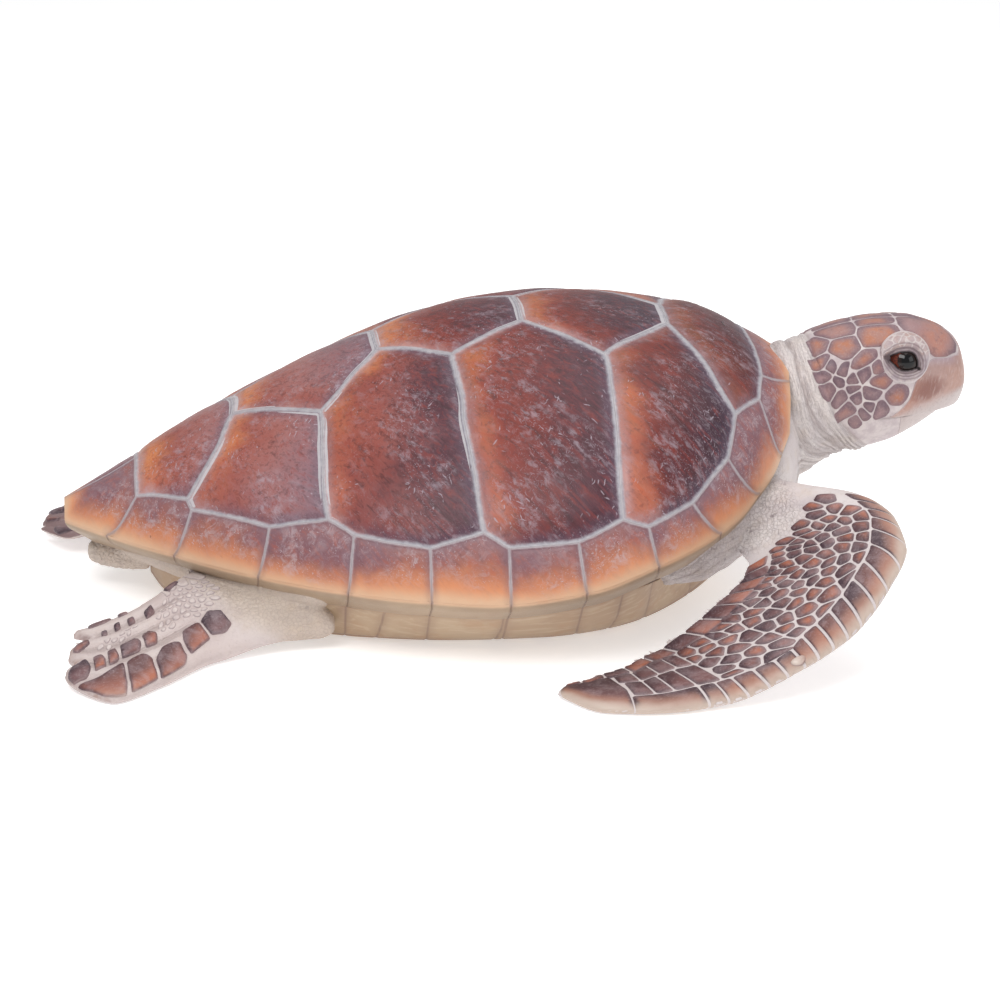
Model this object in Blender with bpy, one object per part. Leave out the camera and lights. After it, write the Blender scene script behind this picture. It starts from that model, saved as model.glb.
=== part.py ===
"""Life-size display model of a green sea turtle, resting on its plastron with its flippers spread.

Frame: +X toward the head, +Y to the turtle's left, +Z up, floor at Z = 0. Metres.
"""

import math

import bmesh
import bpy
import numpy as np
from mathutils import Vector

# Driving dimensions of the shell
GAP = 0.0003
SWELL = 0.0005
SHELL_REAR_X = -0.432
SHELL_LENGTH = 0.715
FRONT_CORNER_SETBACK = 0.010
SEAM_DEPTH = 0.0022
SEAM_HALF_WIDTH = 0.0045
SCUTE_EDGE_STEP = 0.050
LARGE_SCUTE = 0.055

# Along the shell, u runs from 0 at the tail to 1 at the neck. Each pair is (u, value).
HALF_WIDTH = (
    (0, 0.016), (0.055, 0.058), (0.15, 0.119), (0.25, 0.176), (0.37, 0.228), (0.47, 0.259),
    (0.58, 0.279), (0.68, 0.284), (0.77, 0.269), (0.865, 0.226), (0.93, 0.178), (0.965, 0.145), (1, 0.095),
)
RIM_HEIGHT = (
    (0, 0.076), (0.15, 0.073), (0.37, 0.071), (0.55, 0.072), (0.68, 0.084), (0.77, 0.101),
    (0.865, 0.117), (0.93, 0.137), (0.965, 0.150), (1, 0.168),
)
RIDGE_HEIGHT = (
    (0, 0.094), (0.06, 0.116), (0.16, 0.160), (0.25, 0.193), (0.33, 0.220), (0.41, 0.244), (0.49, 0.264),
    (0.575, 0.275), (0.66, 0.278), (0.74, 0.274), (0.83, 0.265), (0.88, 0.260), (0.94, 0.242), (1, 0.217),
)
ARCH_POWER = ((0, 1.7), (0.25, 1.7), (0.5, 1.75), (0.7, 2.1), (0.85, 2.3), (1, 2.3))
ARCH_ROUNDNESS = 0.62

# Junctions of the seams on one half of the shell, as (u, v): v is 0 on the ridge and 1 on the rim.
CROSS_SEAM_END = ((0.234, 0.155), (0.430, 0.125), (0.628, 0.150), (0.830, 0.138))
VERTEBRAL_CORNER = ((0.166, 0.758), (0.349, 0.406), (0.526, 0.300), (0.731, 0.390), (0.900, 0.752))
COSTAL_FOOT = ((0.347, 0.868), (0.546, 0.912), (0.726, 0.932))
MARGINAL_INNER = (
    (0.100, 0.650), (0.171, 0.820), (0.271, 0.890), (0.379, 0.912), (0.476, 0.940), (0.577, 0.942),
    (0.666, 0.950), (0.759, 0.958), (0.824, 0.946), (0.879, 0.886), (0.940, 0.700), (0.950, 0.525),
)
MARGINAL_OUTER_U = (0.057, 0.147, 0.256, 0.371, 0.477, 0.578, 0.676, 0.773, 0.863, 0.930, 0.981)
NUCHAL_OUTER_V = 0.580

# Underside of the marginal plates: a rolled edge, then a band that slopes in to the plastron.
RIM_ROLL_IN, RIM_ROLL_DROP = 0.0015, 0.006
RIM_BAND_IN, RIM_BAND_DROP = 0.030, 0.026
SHELL_CORE_Z = 0.062

# Plastron: (x, half width of the flat, underside height), and its lobes: (x, half width, top height).
# Between the lobes its sides are bridges, which reach the rim plates.
PLASTRON = (
    (-0.350, 0.016, 0.018), (-0.338, 0.044, 0.010), (-0.300, 0.080, 0.0), (-0.250, 0.112, 0.0),
    (-0.200, 0.148, 0.0), (-0.150, 0.166, 0.0), (-0.060, 0.178, 0.0), (0.020, 0.178, 0.0),
    (0.080, 0.170, 0.002), (0.125, 0.155, 0.006), (0.170, 0.132, 0.016), (0.210, 0.100, 0.034),
    (0.238, 0.056, 0.054), (0.250, 0.016, 0.068),
)
REAR_LOBE = ((-0.350, 0.022, 0.032), (-0.338, 0.056, 0.036), (-0.300, 0.100, 0.042), (-0.235, 0.148, 0.046))
FRONT_LOBE = ((0.135, 0.205, 0.066), (0.170, 0.162, 0.072), (0.210, 0.110, 0.088), (0.238, 0.064, 0.094),
              (0.250, 0.022, 0.092))
BRIDGE_REAR_X, BRIDGE_FRONT_X = -0.195, 0.105
PLASTRON_THICKNESS = 0.022
BRIDGE_LIP = 0.008

# Flesh between the shells: (x, half width, centre height, half height)
TRUNK = (
    (-0.385, 0.022, 0.054, 0.012), (-0.365, 0.050, 0.056, 0.020), (-0.320, 0.100, 0.057, 0.032),
    (-0.240, 0.172, 0.060, 0.042), (-0.190, 0.200, 0.062, 0.044), (-0.130, 0.160, 0.042, 0.019),
    (0.020, 0.160, 0.042, 0.019), (0.110, 0.212, 0.082, 0.058), (0.170, 0.224, 0.094, 0.064),
    (0.220, 0.182, 0.109, 0.069), (0.255, 0.138, 0.119, 0.063), (0.280, 0.096, 0.129, 0.060),
    (0.296, 0.048, 0.136, 0.042),
)

# Neck and head: (x, top, underside, half width, squareness of the section)
NECK = (
    (0.235, 0.212, 0.092, 0.066, 2.0), (0.265, 0.222, 0.087, 0.067, 2.0), (0.290, 0.228, 0.099, 0.064, 2.0),
    (0.308, 0.231, 0.112, 0.059, 2.0), (0.3245, 0.233, 0.119, 0.0560, 2.0),
)
HEAD = (
    (0.3250, 0.235, 0.118, 0.0545, 2.1), (0.340, 0.242, 0.120, 0.0560, 2.2),
    (0.362, 0.249, 0.125, 0.0565, 2.3), (0.385, 0.253, 0.130, 0.0545, 2.35),
    (0.405, 0.253, 0.137, 0.0500, 2.35), (0.422, 0.249, 0.144, 0.0435, 2.3),
    (0.438, 0.243, 0.152, 0.0375, 2.2), (0.450, 0.235, 0.158, 0.0305, 2.1),
    (0.458, 0.225, 0.163, 0.0230, 2.0), (0.463, 0.2100, 0.173, 0.0150, 2.0),
    (0.4655, 0.199, 0.182, 0.0070, 2.0),
)
HEAD_PLANE_Z = 0.175
HEAD_PLANE_LEAN = 0.40
LEAN_ENDS_X = 0.405
MOUTH_Z = 0.1645
MOUTH_CORNER_X = 0.374
JAW_INSET = 0.0022
JAW_TIP_SETBACK = 0.011
EYE_RADIUS = 0.0145
EYE_CENTRE = (0.400, 0.0375, 0.2210)
BROW_RADIUS = 0.031
BROW_RISE = 0.0045

# Front flipper of the right side: (leading edge, trailing edge, thickness) from shoulder to tip
FRONT_FLIPPER = (
    ((0.238, -0.100, 0.120), (0.165, -0.110, 0.092), 0.060),
    ((0.286, -0.156, 0.129), (0.188, -0.165, 0.088), 0.058),
    ((0.326, -0.200, 0.137), (0.208, -0.196, 0.082), 0.048),
    ((0.348, -0.242, 0.130), (0.214, -0.208, 0.076), 0.040),
    ((0.351, -0.280, 0.116), (0.206, -0.222, 0.068), 0.034),
    ((0.328, -0.315, 0.088), (0.191, -0.236, 0.060), 0.030),
    ((0.286, -0.346, 0.053), (0.170, -0.250, 0.050), 0.026),
    ((0.229, -0.368, 0.028), (0.146, -0.266, 0.036), 0.023),
    ((0.172, -0.376, 0.008), (0.116, -0.262, 0.014), 0.024),
    ((0.115, -0.384, 0.005), (0.086, -0.284, 0.009), 0.019),
    ((0.057, -0.376, 0.004), (0.054, -0.300, 0.007), 0.016),
    ((0.017, -0.336, 0.005), (0.022, -0.318, 0.005), 0.009),
)
CLAW_PLACE = (0.240, -0.362, 0.036)
CLAW_SIZE = (0.020, 0.010, 0.009)

# Hind flippers: (outer edge, inner edge, thickness) from hip to toes
HIND_RIGHT = (
    ((-0.176, -0.110, 0.056), (-0.262, -0.070, 0.060), 0.036),
    ((-0.178, -0.195, 0.022), (-0.285, -0.098, 0.052), 0.054),
    ((-0.235, -0.204, 0.016), (-0.312, -0.112, 0.050), 0.040),
    ((-0.290, -0.222, 0.005), (-0.338, -0.134, 0.043), 0.030),
    ((-0.341, -0.273, 0.004), (-0.366, -0.156, 0.035), 0.024),
    ((-0.388, -0.308, 0.003), (-0.394, -0.170, 0.029), 0.020),
    ((-0.436, -0.292, 0.004), (-0.424, -0.182, 0.025), 0.015),
)
HIND_LEFT = (
    ((-0.176, 0.110, 0.056), (-0.262, 0.070, 0.060), 0.036),
    ((-0.190, 0.168, 0.030), (-0.290, 0.092, 0.052), 0.056),
    ((-0.246, 0.186, 0.020), (-0.325, 0.098, 0.048), 0.040),
    ((-0.305, 0.212, 0.006), (-0.360, 0.100, 0.040), 0.030),
    ((-0.362, 0.228, 0.004), (-0.396, 0.086, 0.029), 0.024),
    ((-0.415, 0.226, 0.004), (-0.430, 0.082, 0.020), 0.020),
    ((-0.456, 0.194, 0.004), (-0.462, 0.116, 0.018), 0.015),
)
TOE_NOTCHES = ((-0.58, 0.090, 0.20), (0.10, 0.035, 0.14))
OUTER_TOE_TRIM = 0.16

# Tail: (x, half width, centre height, half height)
TAIL = (
    (-0.350, 0.036, 0.042, 0.024), (-0.375, 0.030, 0.040, 0.021), (-0.398, 0.019, 0.037, 0.015),
    (-0.412, 0.008, 0.036, 0.007),
)

FLESH = (0.62, 0.56, 0.50)
SHELL = (0.30, 0.12, 0.07)
HORN = (0.55, 0.45, 0.34)
BELLY = (0.72, 0.64, 0.48)


def clear_scene():
    for obj in list(bpy.data.objects):
        bpy.data.objects.remove(obj, do_unlink=True)


def new_collection(name):
    collection = bpy.data.collections.new(name)
    bpy.context.scene.collection.children.link(collection)
    return collection


def material(name, colour, roughness):
    made = bpy.data.materials.new(name)
    made.use_nodes = True
    shader = made.node_tree.nodes["Principled BSDF"]
    shader.inputs["Base Color"].default_value = (*colour, 1)
    shader.inputs["Roughness"].default_value = roughness
    shader.inputs["Metallic"].default_value = 0.0
    return made


def smooth(pairs, t):
    """Value at t of the shape-keeping cubic through (t, value) pairs, where a value may be a point."""
    knots = np.array([pair[0] for pair in pairs], float)
    values = np.array([pair[1] for pair in pairs], float).reshape(len(pairs), -1)
    steps = np.diff(knots)[:, None]
    slopes = np.diff(values, axis=0) / steps
    before, after = slopes[:-1], slopes[1:]
    same_way = before * after > 0
    mean = 2 * before * after / np.where(same_way, before + after, 1)
    tangents = np.vstack([slopes[:1], np.where(same_way, mean, 0), slopes[-1:]])
    t = min(max(t, knots[0]), knots[-1])
    i = min(max(int(np.searchsorted(knots, t)) - 1, 0), len(knots) - 2)
    step = steps[i, 0]
    s = (t - knots[i]) / step
    value = (
        (2 * s**3 - 3 * s**2 + 1) * values[i]
        + (s**3 - 2 * s**2 + s) * step * tangents[i]
        + (3 * s**2 - 2 * s**3) * values[i + 1]
        + (s**3 - s**2) * step * tangents[i + 1]
    )
    return float(value[0]) if len(value) == 1 else value


def new_object(name, bm, collection, surface, smooth_angle=40):
    bmesh.ops.recalc_face_normals(bm, faces=bm.faces)
    bmesh.ops.triangulate(bm, faces=bm.faces)
    mesh = bpy.data.meshes.new(name)
    bm.to_mesh(mesh)
    bm.free()
    mesh.materials.append(surface)
    mesh.shade_smooth()
    mesh.set_sharp_from_angle(angle=math.radians(smooth_angle))
    obj = bpy.data.objects.new(name, mesh)
    collection.objects.link(obj)
    return obj


def skinned_rings(rings):
    """A closed mesh through rings of equal length, with each end filled between its two sides."""
    bm = bmesh.new()
    loops = [[bm.verts.new(point) for point in ring] for ring in rings]
    count = len(loops[0])
    for near, far in zip(loops, loops[1:]):
        for k in range(count):
            bm.faces.new((near[k], near[(k + 1) % count], far[(k + 1) % count], far[k]))
    for loop in (loops[0], loops[-1]):
        for k in range(1, count // 2):
            bm.faces.new((loop[k], loop[k + 1], loop[-k - 1], loop[-k]) if k + 1 < count // 2 else
                         (loop[k], loop[k + 1], loop[-k]))
        bm.faces.new((loop[0], loop[1], loop[-1]))
    return bm


def turn_angles(count):
    return [2 * math.pi * k / count for k in range(count)]


# Carapace

def shell_point(u, v):
    """A point of the dome: v is 0 on the ridge and 1 or -1 on the rim."""
    rim, ridge = smooth(RIM_HEIGHT, u), smooth(RIDGE_HEIGHT, u)
    power = np.interp(u, *zip(*ARCH_POWER))
    rise = max(1 - abs(v) ** power, 0) ** ARCH_ROUNDNESS
    setback = FRONT_CORNER_SETBACK * v**2 * min(max((u - 0.9) / 0.1, 0), 1)
    x = SHELL_REAR_X + SHELL_LENGTH * u - setback
    return Vector((x, v * smooth(HALF_WIDTH, u), rim + (ridge - rim) * rise))


def shell_normal(u, v):
    step = 0.004
    u0, u1 = max(u - step, 0), min(u + step, 1)
    v0, v1 = max(v - step, -1), min(v + step, 1)
    along = shell_point(u1, v) - shell_point(u0, v)
    across = shell_point(u, v1) - shell_point(u, v0)
    return along.cross(across).normalized()


def between(start, end, fraction):
    """A place between two (u, v) places, with even steps along the arch rather than across it."""
    a0, a1 = math.asin(start[1]), math.asin(end[1])
    return (start[0] + (end[0] - start[0]) * fraction, math.sin(a0 + (a1 - a0) * fraction))


def seam_places(start, end):
    """Places along a seam from start up to, but not including, end. A seam has the same ones both ways."""
    length = (shell_point(*start) - shell_point(*end)).length
    count = max(1, round(length / SCUTE_EDGE_STEP))
    flipped = end < start
    places = [between(*((end, start) if flipped else (start, end)), k / count) for k in range(count + 1)]
    return (places[::-1] if flipped else places)[:-1]


def mirrored(corners):
    return [(u, -v) for u, v in reversed(corners)]


def vertebral_scutes():
    """The five plates along the ridge, tail to neck, each as corners round it."""
    last = len(CROSS_SEAM_END)
    for k in range(last + 1):
        rear = [MARGINAL_INNER[0]] if k == 0 else [CROSS_SEAM_END[k - 1]]
        front = [MARGINAL_INNER[10], MARGINAL_INNER[11]] if k == last else [CROSS_SEAM_END[k]]
        half = rear + [VERTEBRAL_CORNER[k]] + front
        on_ridge = [(MARGINAL_INNER[0][0], 0.0)] if k == 0 else []
        yield half + mirrored(half) + on_ridge


def costal_scutes():
    """The four plates of one side, tail to neck."""
    inner = MARGINAL_INNER
    feet = (VERTEBRAL_CORNER[0], *COSTAL_FOOT, VERTEBRAL_CORNER[4])
    touching = (inner[1:3], inner[3:5], inner[5:7], inner[7:10])
    for k in range(4):
        outer_side = [feet[k], *touching[k], feet[k + 1]]
        top = [VERTEBRAL_CORNER[k + 1]] if k < 3 else []
        yield outer_side + top + [CROSS_SEAM_END[k]] + ([VERTEBRAL_CORNER[k]] if k else [])


def marginal_scutes():
    """The eleven rim plates of one side, then the plate over the tail."""
    inner = MARGINAL_INNER
    on_inner_edge = {
        1: [VERTEBRAL_CORNER[0]], 3: [COSTAL_FOOT[0]], 5: [COSTAL_FOOT[1]],
        7: [COSTAL_FOOT[2]], 10: [VERTEBRAL_CORNER[4]],
    }
    for k in range(1, 12):
        outer = [(MARGINAL_OUTER_U[k - 1], 1.0)]
        outer += [(MARGINAL_OUTER_U[k], 1.0)] if k < 11 else [(1.0, 1.0), (1.0, NUCHAL_OUTER_V)]
        yield outer + [inner[k]] + on_inner_edge.get(k, []) + [inner[k - 1]]
    yield [(0.0, 0.0), (0.0, 1.0), (MARGINAL_OUTER_U[0], 1.0), inner[0], (inner[0][0], 0.0)]


def nuchal_scute():
    half = [MARGINAL_INNER[11], (1.0, NUCHAL_OUTER_V)]
    return half + mirrored(half)


def all_scutes():
    yield from vertebral_scutes()
    yield nuchal_scute()
    for half in (list(costal_scutes()), list(marginal_scutes())):
        for corners in half:
            yield corners
            yield mirrored(corners)


def add_scute(bm, corners):
    """One plate: a sunken seam round it, a raised edge inside the seam and a crown."""
    sides = zip(corners, corners[1:] + corners[:1])
    places = [place for start, end in sides for place in seam_places(start, end)]
    points = [shell_point(*place) for place in places]
    centre = sum(points, Vector()) / len(points)
    middle = (sum(p[0] for p in places) / len(places), sum(p[1] for p in places) / len(places))
    spokes = [(centre - point).length for point in points]
    on_rim = [abs(place[1]) == 1 or place[0] in (0.0, 1.0) for place in places]
    depths = [0 if rim else SEAM_DEPTH for rim in on_rim]
    rings = [[p - shell_normal(*place) * depth for p, place, depth in zip(points, places, depths)]]
    for share in (0, 0.36, 0.68) if max(spokes) > LARGE_SCUTE else (0, 0.5):
        reaches = [share or min(SEAM_HALF_WIDTH / spoke, 0.4) for spoke in spokes]
        rings.append([shell_point(*between(place, middle, reach)) for place, reach in zip(places, reaches)])
    loops = [[bm.verts.new(point) for point in ring] for ring in rings]
    count = len(places)
    for near, far in zip(loops, loops[1:]):
        for k in range(count):
            bm.faces.new((near[k], near[(k + 1) % count], far[(k + 1) % count], far[k]))
    crown = bm.verts.new(shell_point(*middle))
    for k in range(count):
        bm.faces.new((loops[-1][k], loops[-1][(k + 1) % count], crown))


def ordered_rim(bm):
    """The open edge of the dome, as its vertices in order round the rim."""
    rim_edges = [edge for edge in bm.edges if edge.is_boundary]
    links = {}
    for edge in rim_edges:
        for vert in edge.verts:
            links.setdefault(vert, []).append(edge.other_vert(vert))
    loop = [rim_edges[0].verts[0]]
    previous = None
    while len(loop) == 1 or loop[-1] is not loop[0]:
        following = [vert for vert in links[loop[-1]] if vert is not previous][0]
        previous = loop[-1]
        loop.append(following)
    return loop[:-1]


def under_point(rim_point, inward, drop):
    """A point on the underside of the rim plates, in toward the shell's long axis."""
    axis_x = min(max(rim_point.x, -0.28), 0.16)
    away = Vector((axis_x - rim_point.x, -rim_point.y, 0))
    return rim_point + away.normalized() * min(inward, away.length * 0.8) - Vector((0, 0, drop))


def core_point(rim_point, scale):
    """A point of the flat underside, hidden by the flesh below it."""
    height = SHELL_CORE_Z + (rim_point.z - 0.075) * 0.5 * scale
    return Vector((-0.03 + (rim_point.x + 0.03) * scale, rim_point.y * scale, height))


def build_carapace(collection):
    bm = bmesh.new()
    for corners in all_scutes():
        add_scute(bm, corners)
    bmesh.ops.remove_doubles(bm, verts=bm.verts, dist=1e-5)
    rim = ordered_rim(bm)
    points = [vert.co.copy() for vert in rim]
    rings = [
        [under_point(point, RIM_ROLL_IN, RIM_ROLL_DROP) for point in points],
        [under_point(point, RIM_BAND_IN, RIM_BAND_DROP) for point in points],
        [core_point(point, 0.62) for point in points],
    ]
    loops = [rim] + [[bm.verts.new(point) for point in ring] for ring in rings]
    count = len(rim)
    for near, far in zip(loops, loops[1:]):
        for k in range(count):
            bm.faces.new((near[k], near[(k + 1) % count], far[(k + 1) % count], far[k]))
    core = bm.verts.new((-0.03, 0, SHELL_CORE_Z))
    for k in range(count):
        bm.faces.new((loops[-1][k], loops[-1][(k + 1) % count], core))
    return new_object("carapace", bm, collection, material("carapace_scutes", SHELL, 0.45))


# Plastron and trunk

def bridge_edge():
    """The line along which a bridge meets the rim plates, as (x, (half width, height)) pairs."""
    stations = np.linspace(0.28, 0.82, 19)
    places = (under_point(shell_point(u, 1), RIM_BAND_IN, RIM_BAND_DROP) for u in stations)
    return [(place.x, (place.y - GAP, place.z - GAP)) for place in places]


def plastron_ring(x, flat, wide, low, high, lip):
    """Half of a section is a flat, a sloping bridge that swells a little, and the top."""
    bulge = (flat + (wide - flat) * 0.55, low + (high - low) * 0.42)
    top = (wide * 0.6, min(low + PLASTRON_THICKNESS, high))
    half = [(flat, low), bulge, (wide, high), (wide - 0.001, high + lip), top]
    return [(x, y, z) for y, z in half] + [(x, -y, z) for y, z in reversed(half)]


def build_plastron(collection):
    floor = [(row[0], row[1:]) for row in PLASTRON]
    bridge = [pair for pair in bridge_edge() if BRIDGE_REAR_X <= pair[0] <= BRIDGE_FRONT_X]
    edge = [(row[0], row[1:]) for row in REAR_LOBE] + bridge + [(row[0], row[1:]) for row in FRONT_LOBE]
    rings = []
    for x in np.linspace(PLASTRON[0][0], PLASTRON[-1][0], 29):
        (flat, low), (wide, high) = smooth(floor, x), smooth(edge, x)
        lip = BRIDGE_LIP if BRIDGE_REAR_X <= x <= BRIDGE_FRONT_X else GAP
        rings.append(plastron_ring(x, flat, wide, max(low, 0), high, lip))
    bm = bmesh.new()
    loops = [[bm.verts.new(point) for point in ring] for ring in rings]
    count = len(loops[0])
    for near, far in zip(loops, loops[1:]):
        for k in range(count):
            bm.faces.new((near[k], near[(k + 1) % count], far[(k + 1) % count], far[k]))
    bm.faces.new(loops[0])
    bm.faces.new(loops[-1])
    return new_object("plastron", bm, collection, material("plastron_plates", BELLY, 0.5))


def oval_rings(rows, steps, sides, squareness=2.0):
    """Rings of an upright oval along X through rows of (x, half width, centre height, half height)."""
    pairs = [(row[0], row[1:]) for row in sorted(rows)]
    rings = []
    for x in np.linspace(pairs[0][0], pairs[-1][0], steps):
        sizes = smooth(pairs, x)
        rings.append([oval_point(x, angle, *sizes, squareness) for angle in turn_angles(sides)])
    return rings


def oval_point(x, angle, half_width, centre, half_height, squareness):
    power = 2 / squareness
    cosine, sine = math.cos(angle), math.sin(angle)
    y = half_width * math.copysign(abs(cosine) ** power, cosine)
    z = centre + half_height * math.copysign(abs(sine) ** power, sine)
    return Vector((x, y, z))


def build_trunk(collection):
    bm = skinned_rings(oval_rings(TRUNK, 19, 16, 2.4))
    return new_object("trunk", bm, collection, material("trunk_skin", FLESH, 0.6))


def build_tail(collection):
    bm = skinned_rings(oval_rings(TAIL, 6, 10))
    return new_object("tail", bm, collection, material("tail_skin", FLESH, 0.6))


# Neck, head, jaw and eyes

def lean(x, z):
    """The rings lean with the back of the head and stand upright further forward."""
    share = min(max((LEAN_ENDS_X - x) / (LEAN_ENDS_X - HEAD[0][0]), 0), 1)
    return Vector((x - HEAD_PLANE_LEAN * share * (z - HEAD_PLANE_Z), 0, 0))


def head_rings(rows, steps, sides, inset=0.0, setback=0.0):
    pairs = [(row[0], row[1:]) for row in rows]
    first, last = rows[0][0], rows[-1][0]
    rings = []
    for k in range(steps):
        x = first + (last - first) * math.sin(math.pi / 2 * k / (steps - 1)) ** 0.85
        top, under, half_width, squareness = smooth(pairs, x)
        oval = (half_width - inset, (top + under) / 2, (top - under) / 2, squareness)
        ring = []
        for angle in turn_angles(sides):
            point = oval_point(0, angle, *oval)
            point.x = lean(x, point.z).x - setback * min(max((x - 0.40) / 0.06, 0), 1)
            ring.append(with_brow(point, inset))
        rings.append(ring)
    return rings


def with_brow(point, inset):
    """Pushes the head out round each eye, as the rim of the orbit."""
    eye = Vector((EYE_CENTRE[0], math.copysign(EYE_CENTRE[1] + 0.008, point.y), EYE_CENTRE[2] + 0.004))
    away = point - eye
    if inset or away.length > BROW_RADIUS:
        return point
    rise = BROW_RISE * math.sin(math.pi * away.length / BROW_RADIUS) ** 2
    return point + Vector((0, math.copysign(0.8, point.y), 0.6)) * rise


def build_neck(collection):
    pairs = [(row[0], row[1:]) for row in NECK]
    rings = []
    for x in np.linspace(NECK[0][0], NECK[-1][0], 9):
        top, under, half_width, squareness = smooth(pairs, x)
        oval = (half_width, (top + under) / 2, (top - under) / 2, squareness)
        lean_share = min(max((x - NECK[0][0]) / (NECK[-1][0] - NECK[0][0]), 0), 1)
        ring = []
        for angle in turn_angles(20):
            point = oval_point(x, angle, *oval)
            point.x = x - HEAD_PLANE_LEAN * lean_share * (point.z - HEAD_PLANE_Z) - GAP * lean_share
            ring.append(point)
        rings.append(ring)
    return new_object("neck", skinned_rings(rings), collection, material("neck_skin", FLESH, 0.6))


def mouth_box(name, clearance, cutters):
    """The block of the lower jaw, behind the mouth line and in front of its corner."""
    bm = bmesh.new()
    bmesh.ops.create_cube(bm, size=1)
    size = Vector((0.2, 0.2, 0.1))
    corner = Vector((MOUTH_CORNER_X - clearance, -0.1, MOUTH_Z + clearance - size.z))
    for vert in bm.verts:
        vert.co = corner + Vector(a * (b + 0.5) for a, b in zip(size, vert.co))
    return as_cutter(new_object(name, bm, cutters, material(name, HORN, 0.5)))


def build_head(collection, cutters):
    bm = skinned_rings(head_rings(HEAD, 19, 22))
    head = new_object("head", bm, collection, material("head_skin", FLESH, 0.5))
    boolean(head, mouth_box("mouth_cut", GAP, cutters), "DIFFERENCE")
    return head


def build_lower_jaw(collection, cutters):
    rings = head_rings(HEAD, 18, 20, JAW_INSET, JAW_TIP_SETBACK)
    jaw = new_object("lower_jaw", skinned_rings(rings), collection, material("lower_jaw_horn", HORN, 0.5))
    boolean(jaw, mouth_box("jaw_block", 0, cutters), "INTERSECT")
    return jaw


def build_eye(side, radius, name, collection):
    bm = bmesh.new()
    bmesh.ops.create_uvsphere(bm, u_segments=14, v_segments=8, radius=radius)
    x, y, z = EYE_CENTRE
    bmesh.ops.translate(bm, verts=bm.verts, vec=(x, side * y, z))
    return new_object(name, bm, collection, material(name, (0.02, 0.015, 0.01), 0.1))


# Flippers

def blade_rings(rows, steps, sides, end_trim=None, sharpness=0.45):
    """Rings of a blade through rows of (leading edge, trailing edge, thickness).

    end_trim gives, for a place across the blade from -1 to 1, how far short of the tip it ends.
    """
    knots = [k / (len(rows) - 1) for k in range(len(rows))]
    leads = [(t, row[0]) for t, row in zip(knots, rows)]
    trails = [(t, row[1]) for t, row in zip(knots, rows)]
    thicknesses = [(t, row[2]) for t, row in zip(knots, rows)]
    rings = []
    for t in (k / (steps - 1) for k in range(steps)):
        ring = []
        for angle in turn_angles(sides):
            across = math.cos(angle)
            reach = t * (1 - (end_trim(across) if end_trim else 0))
            lead, trail = Vector(smooth(leads, reach)), Vector(smooth(trails, reach))
            chord = lead - trail
            ahead = Vector(smooth(leads, reach + 0.02) + smooth(trails, reach + 0.02))
            behind = Vector(smooth(leads, reach - 0.02) + smooth(trails, reach - 0.02))
            up = chord.cross(ahead - behind).normalized()
            up = -up if up.z < 0 else up
            fullness = 1 - sharpness + sharpness * across
            lift = up * (smooth(thicknesses, reach) / 2 * math.sin(angle) * fullness)
            point = (lead + trail) / 2 + chord * (across / 2) + lift
            ring.append(Vector((point.x, point.y, max(point.z, 0))))
        rings.append(ring)
    return rings


def toe_trim(across):
    """The share of the flipper's length that toe notches and the round outer corner take."""
    outer = max(0, across - 0.4) / 0.6
    notches = (depth * max(0, 1 - abs(across - place) / width) for place, depth, width in TOE_NOTCHES)
    return OUTER_TOE_TRIM * outer**2 + sum(notches)


def mirror_y(rows):
    return [tuple((x, -y, z) for x, y, z in row[:2]) + (row[2],) for row in rows]


def build_front_flipper(name, rows, collection):
    bm = skinned_rings(blade_rings(rows, 23, 14))
    return new_object(name, bm, collection, material(name + "_skin", FLESH, 0.55))


def build_hind_flipper(name, rows, collection):
    bm = skinned_rings(blade_rings(rows, 14, 26, toe_trim, 0.15))
    return new_object(name, bm, collection, material(name + "_skin", FLESH, 0.55))


def build_claw(side, name, collection):
    """The short blunt claw on the leading edge."""
    bm = bmesh.new()
    bmesh.ops.create_uvsphere(bm, u_segments=8, v_segments=5, radius=0.5)
    x, y, z = CLAW_PLACE
    for vert in bm.verts:
        vert.co = Vector((x, -side * y, z)) + Vector(a * b for a, b in zip(vert.co, CLAW_SIZE))
    return new_object(name, bm, collection, material(name + "_horn", HORN, 0.45))


# Fitting the pieces to each other

def as_cutter(obj):
    obj.hide_render = True
    obj.display_type = "WIRE"
    return obj


def swollen(obj, cutters):
    """A cutter that is a piece's shape with the gap added all round."""
    copy = obj.copy()
    copy.data = obj.data.copy()
    copy.name = obj.name + "_clearance"
    cutters.objects.link(copy)
    swell = copy.modifiers.new("gap", "DISPLACE")
    swell.direction = "NORMAL"
    swell.mid_level = 0
    swell.strength = SWELL
    return as_cutter(copy)


def boolean(obj, cutter, operation):
    cut = obj.modifiers.new(cutter.name, "BOOLEAN")
    cut.object = cutter
    cut.operation = operation
    cut.solver = "EXACT"


def cut_by(pieces, cutters):
    for obj in pieces:
        for cutter in cutters:
            boolean(obj, cutter, "DIFFERENCE")


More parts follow.
